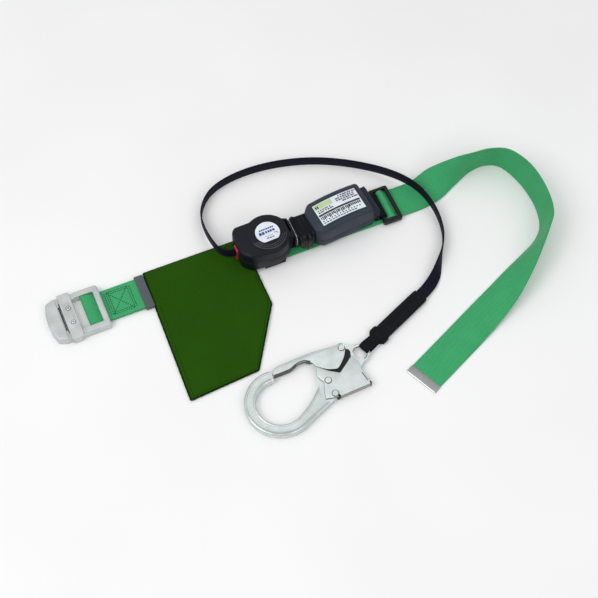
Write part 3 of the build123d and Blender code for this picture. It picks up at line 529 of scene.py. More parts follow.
FINISHES: dict[str, Webbing | Canvas | Metal | Moulding | Vinyl] = {
    finish.name: finish
    for finish in (
        Webbing("belt_webbing_green", (0.058, 0.46, 0.176), (0.018, 0.2, 0.07), 2.3 * MM, 10.0 * MM),
        Webbing("keeper_elastic_grey", (0.125, 0.14, 0.155), (0.05, 0.055, 0.065), 1.2 * MM, 3.0 * MM),
        Webbing(
            "lanyard_webbing_navy", (0.006, 0.006, 0.02), (0.002, 0.002, 0.007), 1.6 * MM, 4.4 * MM,
            rough=0.7, sheen=0.02, gloss=0.14,
        ),
        Webbing(
            "sleeve_webbing_black", (0.006, 0.008, 0.011), (0.002, 0.003, 0.004), 1.6 * MM, 5.8 * MM,
            rough=0.7, sheen=0.02, gloss=0.14,
        ),
        Canvas("pouch_canvas_green", (0.018, 0.078, 0.0014), (0.009, 0.044, 0.0008), 1.9 * MM),
        Canvas("pouch_edging_green", (0.0045, 0.028, 0.001), (0.002, 0.012, 0.0005), 1.1 * MM),
        Metal("cast_alloy_silver", (0.6, 0.635, 0.625), 0.5, 1500.0, (1.0, 1.0, 1.0), 0.06 * MM, 0.5),
        # Bright plated steel, also used for the thin hoop that paints a highlight on the gaiter.
        Metal("plated_steel_bright_and_highlight", (0.78, 0.79, 0.8), 0.25),
        Metal("hook_steel_plated", (0.74, 0.81, 0.785), 0.28, 1100.0, (1.0, 9.0, 9.0), 0.02 * MM),
        # Satin steel of the belt tip's clamp, also used for lines of painted shade on the hook's bow.
        Metal("clamp_steel_satin_and_shade", (0.4, 0.425, 0.41), 0.42, 1000.0, (5.0, 1.0, 1.0)),
        # Painted shade: a dark steel colour for walls, edges, rings and lines that look dark only from shade.
        Metal("painted_shade_steel_dark", (0.1, 0.112, 0.108), 0.4, 1000.0, (5.0, 1.0, 1.0)),
        # Painted shade: a darker copy of the lever's steel for its shaded folded wall.
        Metal("lever_fold_painted_shade", (0.42, 0.41, 0.37), 0.42, 1000.0, (5.0, 1.0, 1.0)),
        Metal("spring_steel_blue", (0.3, 0.31, 0.34), 0.35),
        Metal("bush_bronze_sintered", (0.55, 0.36, 0.14), 0.45, 1800.0),
        # Real black coating of the link and adjuster, also used as painted shade in the hook's gap and at the
        # lever's ends.
        Moulding("coated_steel_black_and_shade", (0.004, 0.004, 0.005), (0.014, 0.014, 0.017), 0.4, gloss=0.3),
        Moulding("reel_nylon_black", (0.0045, 0.0062, 0.0105), (0.016, 0.02, 0.027), 0.42),
        # Painted highlight: the ridges are lighter so that they show as pale arcs of light.
        Moulding("reel_ridge_painted_highlight", (0.03, 0.035, 0.045), (0.06, 0.065, 0.075), 0.3, gloss=0.6),
        Moulding("gaiter_rubber_black", (0.0035, 0.004, 0.005), (0.012, 0.013, 0.015), 0.34),
        Moulding("absorber_rubber_slate", (0.03, 0.039, 0.054), (0.058, 0.07, 0.088), 0.5),
        Moulding("guide_acetal_red", (0.36, 0.008, 0.03), (0.5, 0.03, 0.06), 0.3, 1500.0, 0.02 * MM, 0.5),
        Vinyl("label_vinyl_white", (0.78, 0.84, 0.9)),
        # Black print ink, also used as painted shade in the buckle's slot, the screws' crosses and the reel's
        # outlet.
        Vinyl("print_ink_and_shade_black", (0.01, 0.011, 0.014), 0.4),
        Vinyl("print_ink_blue", (0.03, 0.05, 0.3), 0.4),
        Vinyl("print_ink_red", (0.35, 0.02, 0.04), 0.4),
        Vinyl("print_ink_lime", (0.53, 0.67, 0.36), 0.4),
        Vinyl("thread_green_dark", (0.002, 0.04, 0.012), 0.7),
        Vinyl("thread_black", (0.01, 0.012, 0.014), 0.7),
    )
}


def finish_named(name: str) -> bpy.types.Material:
    """Give a finish's material, made the first time that it is wanted.

    Args:
        name: Name of the finish.

    Returns:
        The material.
    """
    return bpy.data.materials.get(name) or FINISHES[name].build()


# Finishes of the CAD solids that show as they are.
CAD_FINISHES = {
    "belt_webbing": "belt_webbing_green",
    "tip_steel": "clamp_steel_satin_and_shade",
    "buckle_alloy": "cast_alloy_silver",
    "bright_steel": "plated_steel_bright_and_highlight",
    "keeper_band": "keeper_elastic_grey",
    "pouch_canvas": "pouch_canvas_green",
    "pouch_binding": "pouch_edging_green",
    "reel_casing": "reel_nylon_black",
    "reel_label": "label_vinyl_white",
    "guide_red": "guide_acetal_red",
    "link_black": "coated_steel_black_and_shade",
    "absorber_casing": "absorber_rubber_slate",
    "absorber_label": "label_vinyl_white",
    "adjuster_black": "coated_steel_black_and_shade",
    "lanyard_webbing": "lanyard_webbing_navy",
    "sleeve_webbing": "sleeve_webbing_black",
    "bush_bronze": "bush_bronze_sintered",
    "spring_steel": "spring_steel_blue",
    "hook_steel": "hook_steel_plated",
}


# ---------------------------------------------------------------- shaping
def rounded(outline: list[Flat], radius: float, steps: int = 4) -> list[Flat]:
    """Round the corners of a closed plate's outline.

    Args:
        outline: Corners, in order.
        radius: Radius of the corners, less where a side is too short.
        steps: Segments of each corner.

    Returns:
        The rounded outline.
    """
    result = []
    count = len(outline)
    for index, corner in enumerate(outline):
        here = Vector(corner)
        back = Vector(outline[index - 1]) - here
        ahead = Vector(outline[(index + 1) % count]) - here
        cut = min(radius, 0.45 * back.length, 0.45 * ahead.length)
        start = here + back.normalized() * cut
        end = here + ahead.normalized() * cut
        for step in range(steps + 1):
            share = step / steps
            result.append(tuple(start.lerp(here, share).lerp(here.lerp(end, share), share)))
    return result


def arc(centre: Flat, radius: float, start: float, end: float, steps: int) -> list[Flat]:
    """Give points along an arc.

    Args:
        centre: Centre of the arc.
        radius: Its radius.
        start: First angle in degrees.
        end: Last angle in degrees.
        steps: Segments of the arc.

    Returns:
        The points.
    """
    return [
        (
            centre[0] + radius * cos(radians(start + (end - start) * step / steps)),
            centre[1] + radius * sin(radians(start + (end - start) * step / steps)),
        )
        for step in range(steps + 1)
    ]


def smooth_row(rows: list[list[Vector]], steps: int) -> list[list[Vector]]:
    """Fill rows of points in between with a smooth curve through them.

    Args:
        rows: Rows of points, all of one length.
        steps: Rows for each one that was there.

    Returns:
        The filled rows.
    """
    filled = []
    last = len(rows) - 1
    for index in range(last):
        before, start = rows[max(index - 1, 0)], rows[index]
        end, after = rows[index + 1], rows[min(index + 2, last)]
        for step in range(steps):
            t = step / steps
            filled.append(
                [
                    0.5
                    * (
                        2 * b
                        + (c - a) * t
                        + (2 * a - 5 * b + 4 * c - d) * t * t
                        + (3 * b - a - 3 * c + d) * t * t * t
                    )
                    for a, b, c, d in zip(before, start, end, after)
                ]
            )
    filled.append(rows[-1])
    return filled


class Shape:
    """One piece while it is shaped: its bmesh, and the ways that this outfit's pieces are made."""

    def __init__(self, name: str, datum: Datum = OUTFIT) -> None:
        """Start an empty piece.

        Args:
            name: Name of the piece.
            datum: Frame that its millimetres are in.
        """
        self.name = name
        self.datum = datum
        self.bm = bmesh.new()
        self.map = self.bm.loops.layers.uv.new("cloth")

    def ring(self, points: list[Vector]) -> list[bmesh.types.BMEdge]:
        """Add a closed ring of edges.

        Args:
            points: Its points.

        Returns:
            Its edges.
        """
        verts = [self.bm.verts.new(point) for point in points]
        return [self.bm.edges.new((verts[i - 1], vert)) for i, vert in enumerate(verts)]

    def loft(self, rings: list[list[Vector]], capped: bool = True, closed: bool = False) -> "Shape":
        """Join rings of points one to the next.

        Args:
            rings: Rings of points, all of one length.
            capped: Whether the two ends are closed with faces.
            closed: Whether the last ring joins the first.

        Returns:
            This piece.
        """
        edges = [self.ring(ring) for ring in rings]
        pairs = list(zip(edges, edges[1:]))
        if closed:
            pairs.append((edges[-1], edges[0]))
        for first, second in pairs:
            bmesh.ops.bridge_loops(self.bm, edges=first + second)
        if capped and not closed:
            for end in (edges[0], edges[-1]):
                bmesh.ops.contextual_create(self.bm, geom=end)
        return self

    def plate(self, outline: list[Flat], low: float, high: float) -> list[bmesh.types.BMFace]:
        """Raise a flat outline into a plate.

        Args:
            outline: Its outline.
            low: Height of its underside.
            high: Height of its top.

        Returns:
            Its two flat faces, the top one first.
        """
        base = self.bm.faces.new([self.bm.verts.new((x, y, low)) for x, y in outline])
        raised = bmesh.ops.extrude_face_region(self.bm, geom=[base], use_keep_orig=True)
        verts = [item for item in raised["geom"] if isinstance(item, bmesh.types.BMVert)]
        bmesh.ops.translate(self.bm, verts=verts, vec=(0, 0, high - low))
        top = next(item for item in raised["geom"] if isinstance(item, bmesh.types.BMFace))
        return [top, base]

    def edged(self, faces: list[bmesh.types.BMFace], width: float, segments: int = 3) -> "Shape":
        """Round the outer edges of flat faces.

        Args:
            faces: The faces.
            width: Width of the rounding.
            segments: Its segments.

        Returns:
            This piece.
        """
        edges = list({edge for face in faces for edge in face.edges})
        bmesh.ops.bevel(
            self.bm,
            geom=edges,
            offset=width,
            offset_type="OFFSET",
            affect="EDGES",
            segments=segments,
            profile=0.5,
            material=-1,
            clamp_overlap=True,
        )
        return self

    def block(self, low: Vector, high: Vector, width: float = 0.4, segments: int = 3) -> "Shape":
        """Add a block with rounded edges.

        Args:
            low: Its lowest corner.
            high: Its highest corner.
            width: Width of the rounding.
            segments: Its segments.

        Returns:
            This piece.
        """
        size = high - low
        place = Matrix.Translation((low + high) / 2) @ Matrix.Diagonal((*size, 1.0))
        made = bmesh.ops.create_cube(self.bm, size=1.0, matrix=place)
        edges = list({edge for vert in made["verts"] for edge in vert.link_edges})
        bmesh.ops.bevel(
            self.bm,
            geom=edges,
            offset=width,
            offset_type="OFFSET",
            affect="EDGES",
            segments=segments,
            profile=0.5,
            material=-1,
        )
        return self

    def turned_profile(
        self, profile: list[Flat], centre: Flat, angle: float = 360.0, start: float = 0.0, steps: int = 72
    ) -> "Shape":
        """Spin a profile of radius and height about an upright axis.

        Args:
            profile: Radius and height of each point.
            centre: Place of the axis.
            angle: How far it is spun, in degrees.
            start: Angle that it starts from.
            steps: Steps of the spin.

        Returns:
            This piece.
        """
        turn = radians(start)
        verts = [
            self.bm.verts.new((centre[0] + r * cos(turn), centre[1] + r * sin(turn), z)) for r, z in profile
        ]
        edges = [self.bm.edges.new(pair) for pair in zip(verts, verts[1:])]
        bmesh.ops.spin(
            self.bm,
            geom=verts + edges,
            cent=(*centre, 0.0),
            axis=(0, 0, 1),
            dvec=(0, 0, 0),
            angle=radians(angle),
            steps=steps,
            use_merge=angle == 360.0,
            use_duplicate=False,
        )
        return self

    def stitches(
        self,
        line: list[Vector],
        pitch: float = 3.2,
        length: float = 2.2,
        width: float = 0.75,
        rise: float = 0.3,
    ) -> "Shape":
        """Sew a line of stitches.

        Args:
            line: Points that the line goes through.
            pitch: Distance from one stitch to the next.
            length: Length of a stitch.
            width: Width of the thread.
            rise: Half height of the thread.

        Returns:
            This piece.
        """
        for start, end in zip(line, line[1:]):
            run = end - start
            count = max(1, round(run.length / pitch))
            turn = run.to_track_quat("X", "Z").to_matrix().to_4x4()
            for index in range(count):
                middle = start + run * ((index + 0.5) / count)
                size = Matrix.Diagonal((length / 2, width / 2, rise, 1.0))
                bmesh.ops.create_icosphere(
                    self.bm, subdivisions=1, radius=1.0, matrix=Matrix.Translation(middle) @ turn @ size
                )
        return self

    def mapped_flat(self, along: str = "y") -> "Shape":
        """Lay the cloth's map flat over the piece, in metres.

        Args:
            along: Axis that the yarns run along.

        Returns:
            This piece.
        """
        for face in self.bm.faces:
            for loop in face.loops:
                x, y, z = loop.vert.co * MM
                side = 0.7 * z
                loop[self.map].uv = (x + side, y + side) if along == "y" else (y + side, x + side)
        return self

    def mapped_rings(self, ring_size: int, width: float) -> "Shape":
        """Lay the cloth's map along a lofted piece, in metres.

        Args:
            ring_size: Points of each ring.
            width: Length round a ring, in millimetres.

        Returns:
            This piece.
        """
        self.bm.verts.index_update()
        self.bm.verts.ensure_lookup_table()
        verts = self.bm.verts
        travel = [0.0]
        for index in range(ring_size, len(verts), ring_size):
            travel.append(travel[-1] + (verts[index].co - verts[index - ring_size].co).length)
        for face in self.bm.faces:
            places = [(loop.vert.index % ring_size, loop.vert.index // ring_size) for loop in face.loops]
            wraps = max(p for p, _ in places) - min(p for p, _ in places) > ring_size / 2
            for loop, (across, row) in zip(face.loops, places):
                share = across + (ring_size if wraps and across < ring_size / 2 else 0)
                loop[self.map].uv = (share / ring_size * width * MM, travel[min(row, len(travel) - 1)] * MM)
        return self

    def finished(
        self,
        body: Body,
        finish: str,
        slot: str,
        replaces: tuple[str, ...] = (),
        sharp: float = 40.0,
        smooth: bool = True,
    ) -> bpy.types.Object:
        """Make the piece's object, dress it and let it ride on its body.

        Args:
            body: Body that it rides on.
            finish: Name of its finish.
            slot: The record's material slot; not used.
            replaces: CAD solids that it stands for.
            sharp: Angle in degrees from which an edge shows as a crease.
            smooth: Whether it is smooth between its creases.

        Returns:
            The object.
        """
        bmesh.ops.remove_doubles(self.bm, verts=self.bm.verts, dist=0.002)
        bmesh.ops.recalc_face_normals(self.bm, faces=self.bm.faces)
        bmesh.ops.transform(self.bm, matrix=self.datum.matrix(), verts=self.bm.verts)
        for face in self.bm.faces:
            face.smooth = smooth
        for edge in self.bm.edges:
            if len(edge.link_faces) == 2 and edge.calc_face_angle(0.0) > radians(sharp):
                edge.smooth = False
        mesh = bpy.data.meshes.new(self.name)
        self.bm.to_mesh(mesh)
        self.bm.free()
        piece = bpy.data.objects.new(self.name, mesh)
        bpy.context.scene.collection.objects.link(piece)
        mesh.materials.append(finish_named(finish))
        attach(piece, body.value)
        if replaces:
            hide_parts(*replaces)
        LOG.info("%s: %d faces on %s", self.name, len(mesh.polygons), body.value)
        return piece


def thickened(piece: bpy.types.Object, thickness: float, edge: float = 0.0, offset: float = 0.0) -> None:
    """Give a cloth piece its thickness, with rounded edges.

    Args:
        piece: The piece.
        thickness: Thickness in metres.
        edge: Width of the edges' rounding in metres, or 0 for none.
        offset: Side that the thickness goes to, from -1 to 1.
    """
    solid = piece.modifiers.new("cloth_thickness", "SOLIDIFY")
    solid.thickness = thickness
    solid.offset = offset
    solid.use_even_offset = True
    if edge:
        bevel = piece.modifiers.new("selvedge", "BEVEL")
        bevel.width = edge
        bevel.segments = 2
        bevel.limit_method = "ANGLE"
        bevel.angle_limit = radians(55)


def softened(piece: bpy.types.Object, levels: int = 1) -> None:
    """Smooth a piece's surface with a subdivision that shows and exports the same.

    Args:
        piece: The piece.
        levels: Number of subdivisions.
    """
    subdivision = piece.modifiers.new("soft_surface", "SUBSURF")
    subdivision.levels = levels
    subdivision.render_levels = levels


def band_ring(width: float, thick: float, corner: float, steps: int = 3) -> list[Flat]:
    """Give the section of a flat band with rounded corners.

    Args:
        width: Its width.
        thick: Its thickness.
        corner: Radius of its corners.
        steps: Segments of each corner.

    Returns:
        Points of the section, across and through.
    """
    half, deep = width / 2, thick / 2
    corners = [(half, deep), (-half, deep), (-half, -deep), (half, -deep)]
    return rounded(corners, corner, steps)


# ---------------------------------------------------------------- lanyard strap
@dataclass
class LanyardStrap:
    """Lanyard webbing: it leaves the reel on its edge, goes round and rolls flat into its sleeve."""

    width: float = 17.5
    thick: float = 2.0
    roll_length: float = 95.0
    length: float = 0.69

    def route(self) -> list[Vector]:
        """Give the route's points, from the reel's outlet to the sleeve, in metres.

        Returns:
            The points.
        """
        stations = [
            (-44.0, 1.0, 20.95),
            (-60.0, 2.5, 20.95),
            (-70.5, 13.0, 20.45),
            (-74.5, 32.0, 18.45),
            (-76.0, 60.0, 13.0),
            (-72.0, 92.0, 9.15),
            (-47.5, 122.0, 8.95),
            (-12.0, 134.0, 8.95),
            (30.0, 136.5, 8.95),
            (75.0, 130.5, 8.95),
            (122.0, 116.0, 8.95),
            (166.0, 92.5, 9.15),
            (205.0, 61.5, 11.5),
            (230.0, 30.0, 17.0),
            (245.5, 2.0, 17.0),
            (252.5, -27.0, 13.0),
            (253.0, -55.0, 9.25),
            (245.0, -86.0, 8.95),
            (223.5, -118.0, 8.95),
            (197.5, -149.2, 8.95),
        ]
        return [OUTFIT.point(*station) for station in stations] + [LANYARD.point(118.1, 0.0, 8.95)]

    def line(self) -> list[Vector]:
        """Give points close together along the route's smooth line, in metres.

        Returns:
            The points.
        """
        curve = bpy.data.curves.new("lanyard_route", "CURVE")
        curve.dimensions = "3D"
        spline = curve.splines.new("NURBS")
        points = self.route()
        spline.points.add(len(points) - 1)
        for knot, point in zip(spline.points, points):
            knot.co = (*point, 1.0)
        spline.order_u = 3
        spline.use_endpoint_u = True
        spline.resolution_u = 12
        holder = bpy.data.objects.new("lanyard_route", curve)
        mesh = bpy.data.meshes.new_from_object(holder)
        line = [vert.co.copy() for vert in mesh.vertices]
        bpy.data.objects.remove(holder)
        bpy.data.meshes.remove(mesh)
        return line

    def build(self) -> None:
        line = self.line()
        travel = [0.0]
        for start, end in zip(line, line[1:]):
            travel.append(travel[-1] + (end - start).length)
        roll = self.roll_length * MM
        rings = []
        for index, point in enumerate(line):
            run = line[min(index + 1, len(line) - 1)] - line[max(index - 1, 0)]
            side = Vector((run.y, -run.x, 0.0)).normalized()
            upright = side.cross(run).normalized()
            left = travel[-1] - travel[index]
            share = max(0.0, 1.0 - left / roll)
            turn = radians(84.0) * share * share * (3 - 2 * share)
            wide = upright * cos(turn) + side * sin(turn)
            deep = side * cos(turn) - upright * sin(turn)
            # The strap sinks to the surface as it turns flat.
            drop = Vector((0.0, 0.0, -(3.6 * MM) * (turn / radians(84.0))))
            rings.append(
                [
                    (point + drop + wide * across * MM + deep * through * MM) / MM
                    for across, through in band_ring(self.width, self.thick, 0.9, 2)
                ]
            )
        shape = Shape("lanyard_strap_webbing", Datum(0.0, 0.0))
        shape.loft(rings).mapped_rings(len(rings[0]), 2 * self.width)
        strap = shape.finished(Body.ROOT, "lanyard_webbing_navy", "lanyard_webbing", ("lanyard_strap",))


@dataclass
class LanyardEnd:
    """Sleeve, keeper band and end loop that tie the strap to the hook's eye."""

    sleeve_start: float = 20.0
    sleeve_end: float = 118.0
    sleeve_width: float = 23.0
    low: float = 1.0
    high: float = 8.6
    loop_width: float = 17.0

    def sleeve(self) -> None:
        """Make the padded sleeve with its stitched edges."""
        stations = [
            (self.sleeve_start, 21.0, 4.6),
            (self.sleeve_start + 1.0, 22.4, 6.6),
            (self.sleeve_start + 15.0, 22.8, 7.3),
            (self.sleeve_start + 21.0, 23.0, 7.6),
            (60.0, 23.0, 7.5),
            (85.0, 23.0, 7.4),
            (110.0, 22.8, 7.2),
            (self.sleeve_end - 1.0, 22.2, 6.0),
            (self.sleeve_end, 20.6, 3.6),
        ]
        middle = (self.low + self.high) / 2
        rows = [
            [Vector((s, across, middle + through)) for across, through in band_ring(width, thick, 2.2, 4)]
            for s, width, thick in stations
        ]
        rings = smooth_row(rows, 5)
        shape = Shape("strap_sleeve_cover", LANYARD)
        shape.loft(rings).mapped_rings(len(rings[0]), 2 * self.sleeve_width)
        shape.finished(Body.ROOT, "sleeve_webbing_black", "sleeve_webbing", ("strap_sleeve",))
        seams = Shape("strap_sleeve_stitching", LANYARD)
        for side in (-1, 1):
            edge = side * (self.sleeve_width / 2 - 3.2)
            line = [Vector((37.0, edge, self.high - 0.05)), Vector((115.0, edge, self.high - 0.1))]
            seams.stitches(line, 2.8, 2.0, 0.6)
        for s in (44.0, 112.0):
            line = [Vector((s, -8.0, self.high - 0.05)), Vector((s, 8.0, self.high - 0.05))]
            seams.stitches(line, 2.8, 2.0, 0.6)
        seams.finished(Body.ROOT, "thread_black", "sleeve_webbing")

    def keeper_band(self) -> None:
        """Make the wider band round the sleeve's lower end."""
        middle = (self.low + self.high) / 2
        stations = [(21.5, 26.0, 7.9), (22.3, 27.8, 9.2), (28.0, 28.0, 9.4)]
        stations += [(33.7, 27.8, 9.2), (34.5, 26.0, 7.9)]
        rings = [
            [Vector((s, across, middle + through)) for across, through in band_ring(width, thick, 2.8, 4)]
            for s, width, thick in stations
        ]
        shape = Shape("strap_keeper_elastic", LANYARD)
        shape.loft(rings).mapped_rings(len(rings[0]), 56.0)
        piece = shape.finished(Body.ROOT, "sleeve_webbing_black", "sleeve_webbing", ("strap_keeper_band",))
        softened(piece)

    def end_loop(self) -> None:
        """Make the strap's loop through the eye, with its two legs into the sleeve."""
        inner = 4.9
        profile = [(self.sleeve_start + 2.0, 7.2), (14.0, 7.8), (8.0, 9.6), (4.0, 10.6)]
        profile += [(inner * cos(radians(a)), 6.0 + inner * sin(radians(a))) for a in range(70, 291, 20)]
        profile += [(4.0, 1.5), (8.0, 1.6), (14.0, 2.2), (self.sleeve_start + 2.0, 3.0)]
        half = self.loop_width / 2
        sides = (-half, -half / 2, 0.0, half / 2, half)
        rows = [[Vector((s, side, z)) for side in sides] for s, z in profile]
        strip_piece(
            Shape("strap_end_loop_webbing", LANYARD),
            smooth_row(rows, 3),
            1.3,
            Body.ROOT,
            "sleeve_webbing_black",
            "sleeve_webbing",
            ("strap_end_loop",),
        )

    def build(self) -> None:
        """Make all three."""
        self.sleeve()
        self.keeper_band()
        self.end_loop()


def strip_piece(
    shape: Shape,
    rows: list[list[Vector]],
    thick: float,
    body: Body,
    finish: str,
    slot: str,
    replaces: tuple[str, ...] = (),
) -> bpy.types.Object:
    """Make a strip of webbing that runs through rows of points.

    Args:
        shape: Empty piece.
        rows: Rows of points across the strip, in order along it.
        thick: Thickness of the webbing in millimetres.
        body: Body that it rides on.
        finish: Name of its finish.
        slot: The record's material slot.
        replaces: CAD solids that it stands for.

    Returns:
        The strip's object.
    """
    bm = shape.bm
    verts = [bm.verts.new(point) for point in rows[0]]
    front = [bm.edges.new(pair) for pair in zip(verts, verts[1:])]
    travel = 0.0
    places = {vert: (index, 0.0) for index, vert in enumerate(verts)}
    for before, row in zip(rows, rows[1:]):
        middle = len(row) // 2
        travel += (row[middle] - before[middle]).length
        made = bmesh.ops.extrude_edge_only(bm, edges=front)["geom"]
        fresh = {item for item in made if isinstance(item, bmesh.types.BMVert)}
        front = [item for item in made if isinstance(item, bmesh.types.BMEdge) and set(item.verts) <= fresh]
        for old in verts:
            new = next(edge.other_vert(old) for edge in old.link_edges if edge.other_vert(old) in fresh)
            index = places[old][0]
            places[new] = (index, travel)
            new.co = row[index]
        verts = [vert for vert, place in places.items() if place[1] == travel and vert in fresh]
    offsets = [0.0]
    for left, right in zip(rows[0], rows[0][1:]):
        offsets.append(offsets[-1] + (right - left).length)
    for face in bm.faces:
        for loop in face.loops:
            index, place = places[loop.vert]
            loop[shape.map].uv = (offsets[index] * MM, place * MM)
    piece = shape.finished(body, finish, slot, replaces, sharp=75.0)
    thickened(piece, thick * MM, 0.45 * MM)
    return piece


# ---------------------------------------------------------------- belt
@dataclass
class Belt:
    """Belt webbing with its stitched fold, its weave in the adjuster and its curled tail."""

    width: float = 50.0
    thick: float = 1.8
    flat_length: float = 1.262
    tip_length: float = 13.0

    def side_line(self) -> list[Flat]:
        """Give the flat belt's side view: the fold, the loop on the bar, the weave in the adjuster.

        Returns:
            Its places and heights.
        """
        low, high = 3.3, 5.35
        line = [(-199.0, high), (-212.0, high), (-235.0, high), (-252.0, high), (-262.0, 6.1), (-270.0, 9.6)]
        line += [(-277.0 + 4.15 * cos(radians(a)), 7.6 + 4.15 * sin(radians(a))) for a in range(100, 271, 17)]
        line += [(-268.0, low), (-255.0, low), (-215.0, low), (-130.0, low), (-40.0, low), (50.0, low)]
        line += [(120.0, low), (165.0, low), (178.5, low), (181.5, 4.2), (184.6, 8.2), (187.0, 10.3)]
        line += [(189.0, 10.6), (191.0, 10.3), (193.4, 8.2), (196.5, 4.2), (199.5, low), (206.0, low)]
        return line

    def tail(self) -> list[tuple[Vector, Vector]]:
        """Give the lower and upper edges of the tail's webbing along its bend.

        Returns:
            Pairs of lower and upper points.
        """
        stations = [
            ((241, -24.5, 1.3), (242, 24.5, 6)),
            ((271, -19, 0.95), (271, 24.6, 25)),
            ((301, -5, 0.95), (307, 13, 47)),
            ((331, 8, 0.95), (336, 8, 50.5)),
            ((359, 11, 0.95), (362, 5, 50.5)),
            ((382, -2, 0.95), (388, -8, 50)),
            ((395, -40, 0.95), (404, -43, 50)),
            ((397, -84, 0.95), (406, -87, 50)),
            ((387, -120, 0.95), (397, -128, 49.5)),
            ((366, -141, 0.95), (377, -153, 47.5)),
            ((337, -155, 0.95), (350, -180, 42)),
            ((307, -168, 0.95), (325, -202, 32.5)),
            ((271, -184.5, 0.95), (292, -226, 18)),
            ((232, -202, 0.95), (253, -246.7, 6)),
            ((189, -222, 0.95), (210, -267.3, 1.4)),
            ((151, -239.5, 0.95), (172, -284.8, 1.1)),
            ((113.6, -256.7, 0.95), (134.6, -302, 0.95)),
        ]
        return [(Vector(low), Vector(high)) for low, high in stations]

    def rows(self) -> list[list[Vector]]:
        """Give rows of points across the webbing, from the fold's end to the tip.

        Returns:
            The rows.
        """
        shares = [index / 10 for index in range(11)]
        half = self.width / 2
        rows = [[Vector((u, half * (2 * share - 1), z)) for share in shares] for u, z in self.side_line()]
        for low, high in self.tail():
            across = high - low
            bulge = Vector((across.y, -across.x, 0.0)).normalized() * (across.z / 50.0)
            rows.append([low.lerp(high, s) + bulge * (-1.2 * sin(pi * s)) for s in shares])
        return smooth_row(rows, 4)

    def webbing(self) -> None:
        piece = strip_piece(
            Shape("belt_webbing_strip"),
            self.rows(),
            self.thick,
            Body.ROOT,
            "belt_webbing_green",
            "belt_webbing",
            ("belt_webbing",),
        )

    def seams(self) -> None:
        """Sew the box and cross that hold the fold."""
        top = 6.42
        left, right, side = -245.0, -213.0, 19.0
        box = [(left, -side), (left, side), (right, side), (right, -side), (left, -side)]
        seams = Shape("belt_fold_stitching")
        for line in (
            box,
            [(left, -side), (right, side)],
            [(left, side), (right, -side)],
            [(left - 3.0, -side), (left - 3.0, side)],
            [(left + 3.0, -side), (left + 3.0, side)],
            [(right + 3.0, -side), (right + 3.0, side)],
            [(left + 5.5, side - 3.0), (right - 3.0, side - 3.0)],
            [(left + 5.5, 3.0 - side), (right - 3.0, 3.0 - side)],
        ):
            seams.stitches([Vector((u, v, top)) for u, v in line], 3.4, 2.5, 1.5, 0.2)
        seams.finished(Body.ROOT, "thread_green_dark", "belt_webbing")

    def tip(self) -> None:
        """Make the ribbed metal clamp that is pressed on the tail's end."""
        datum = OUTFIT.turned(123.5, -279.65, degrees(atan2(-45.3, 21.0)))
        half = self.width / 2 + 0.7
        clamp = Shape("belt_tip_clamp", datum)
        clamp.block(Vector((-half, -self.tip_length + 1.2, 0.05)), Vector((half, -0.3, 2.5)), 0.4, 2)
        rib_pitch = 2.45
        for index in range(21):
            x = (index - 10) * rib_pitch
            rib = Vector((x - 0.75, -self.tip_length + 3.4, 2.3))
            clamp.block(rib, Vector((x + 0.75, -1.2, 2.8)), 0.22, 2)
            # Teeth that bite into the webbing.
            clamp.block(Vector((x - 0.7, -1.2, 1.7)), Vector((x + 0.7, 1.0, 2.65)), 0.3, 2)
        clamp.finished(Body.ROOT, "clamp_steel_satin_and_shade", "tip_steel", ("belt_tip",))
        roll = Shape("belt_tip_rolled_edge", datum)
        rings = []
        for index in range(13):
            angle = 2 * pi * index / 12
            rings.append((cos(angle), sin(angle)))
        ends = (-half, -half + 0.5, half - 0.5, half)
        sizes = (0.8, 1.25, 1.25, 0.8)
        roll.loft(
            [
                [Vector((x, -self.tip_length + 1.4 + r * c, 1.5 + r * s)) for c, s in rings[:-1]]
                for x, r in zip(ends, sizes)
            ]
        )
        roll.finished(Body.ROOT, "plated_steel_bright_and_highlight", "tip_steel")

    def build(self) -> None:
        """Make the belt's pieces."""
        self.webbing()
        self.seams()
        self.tip()


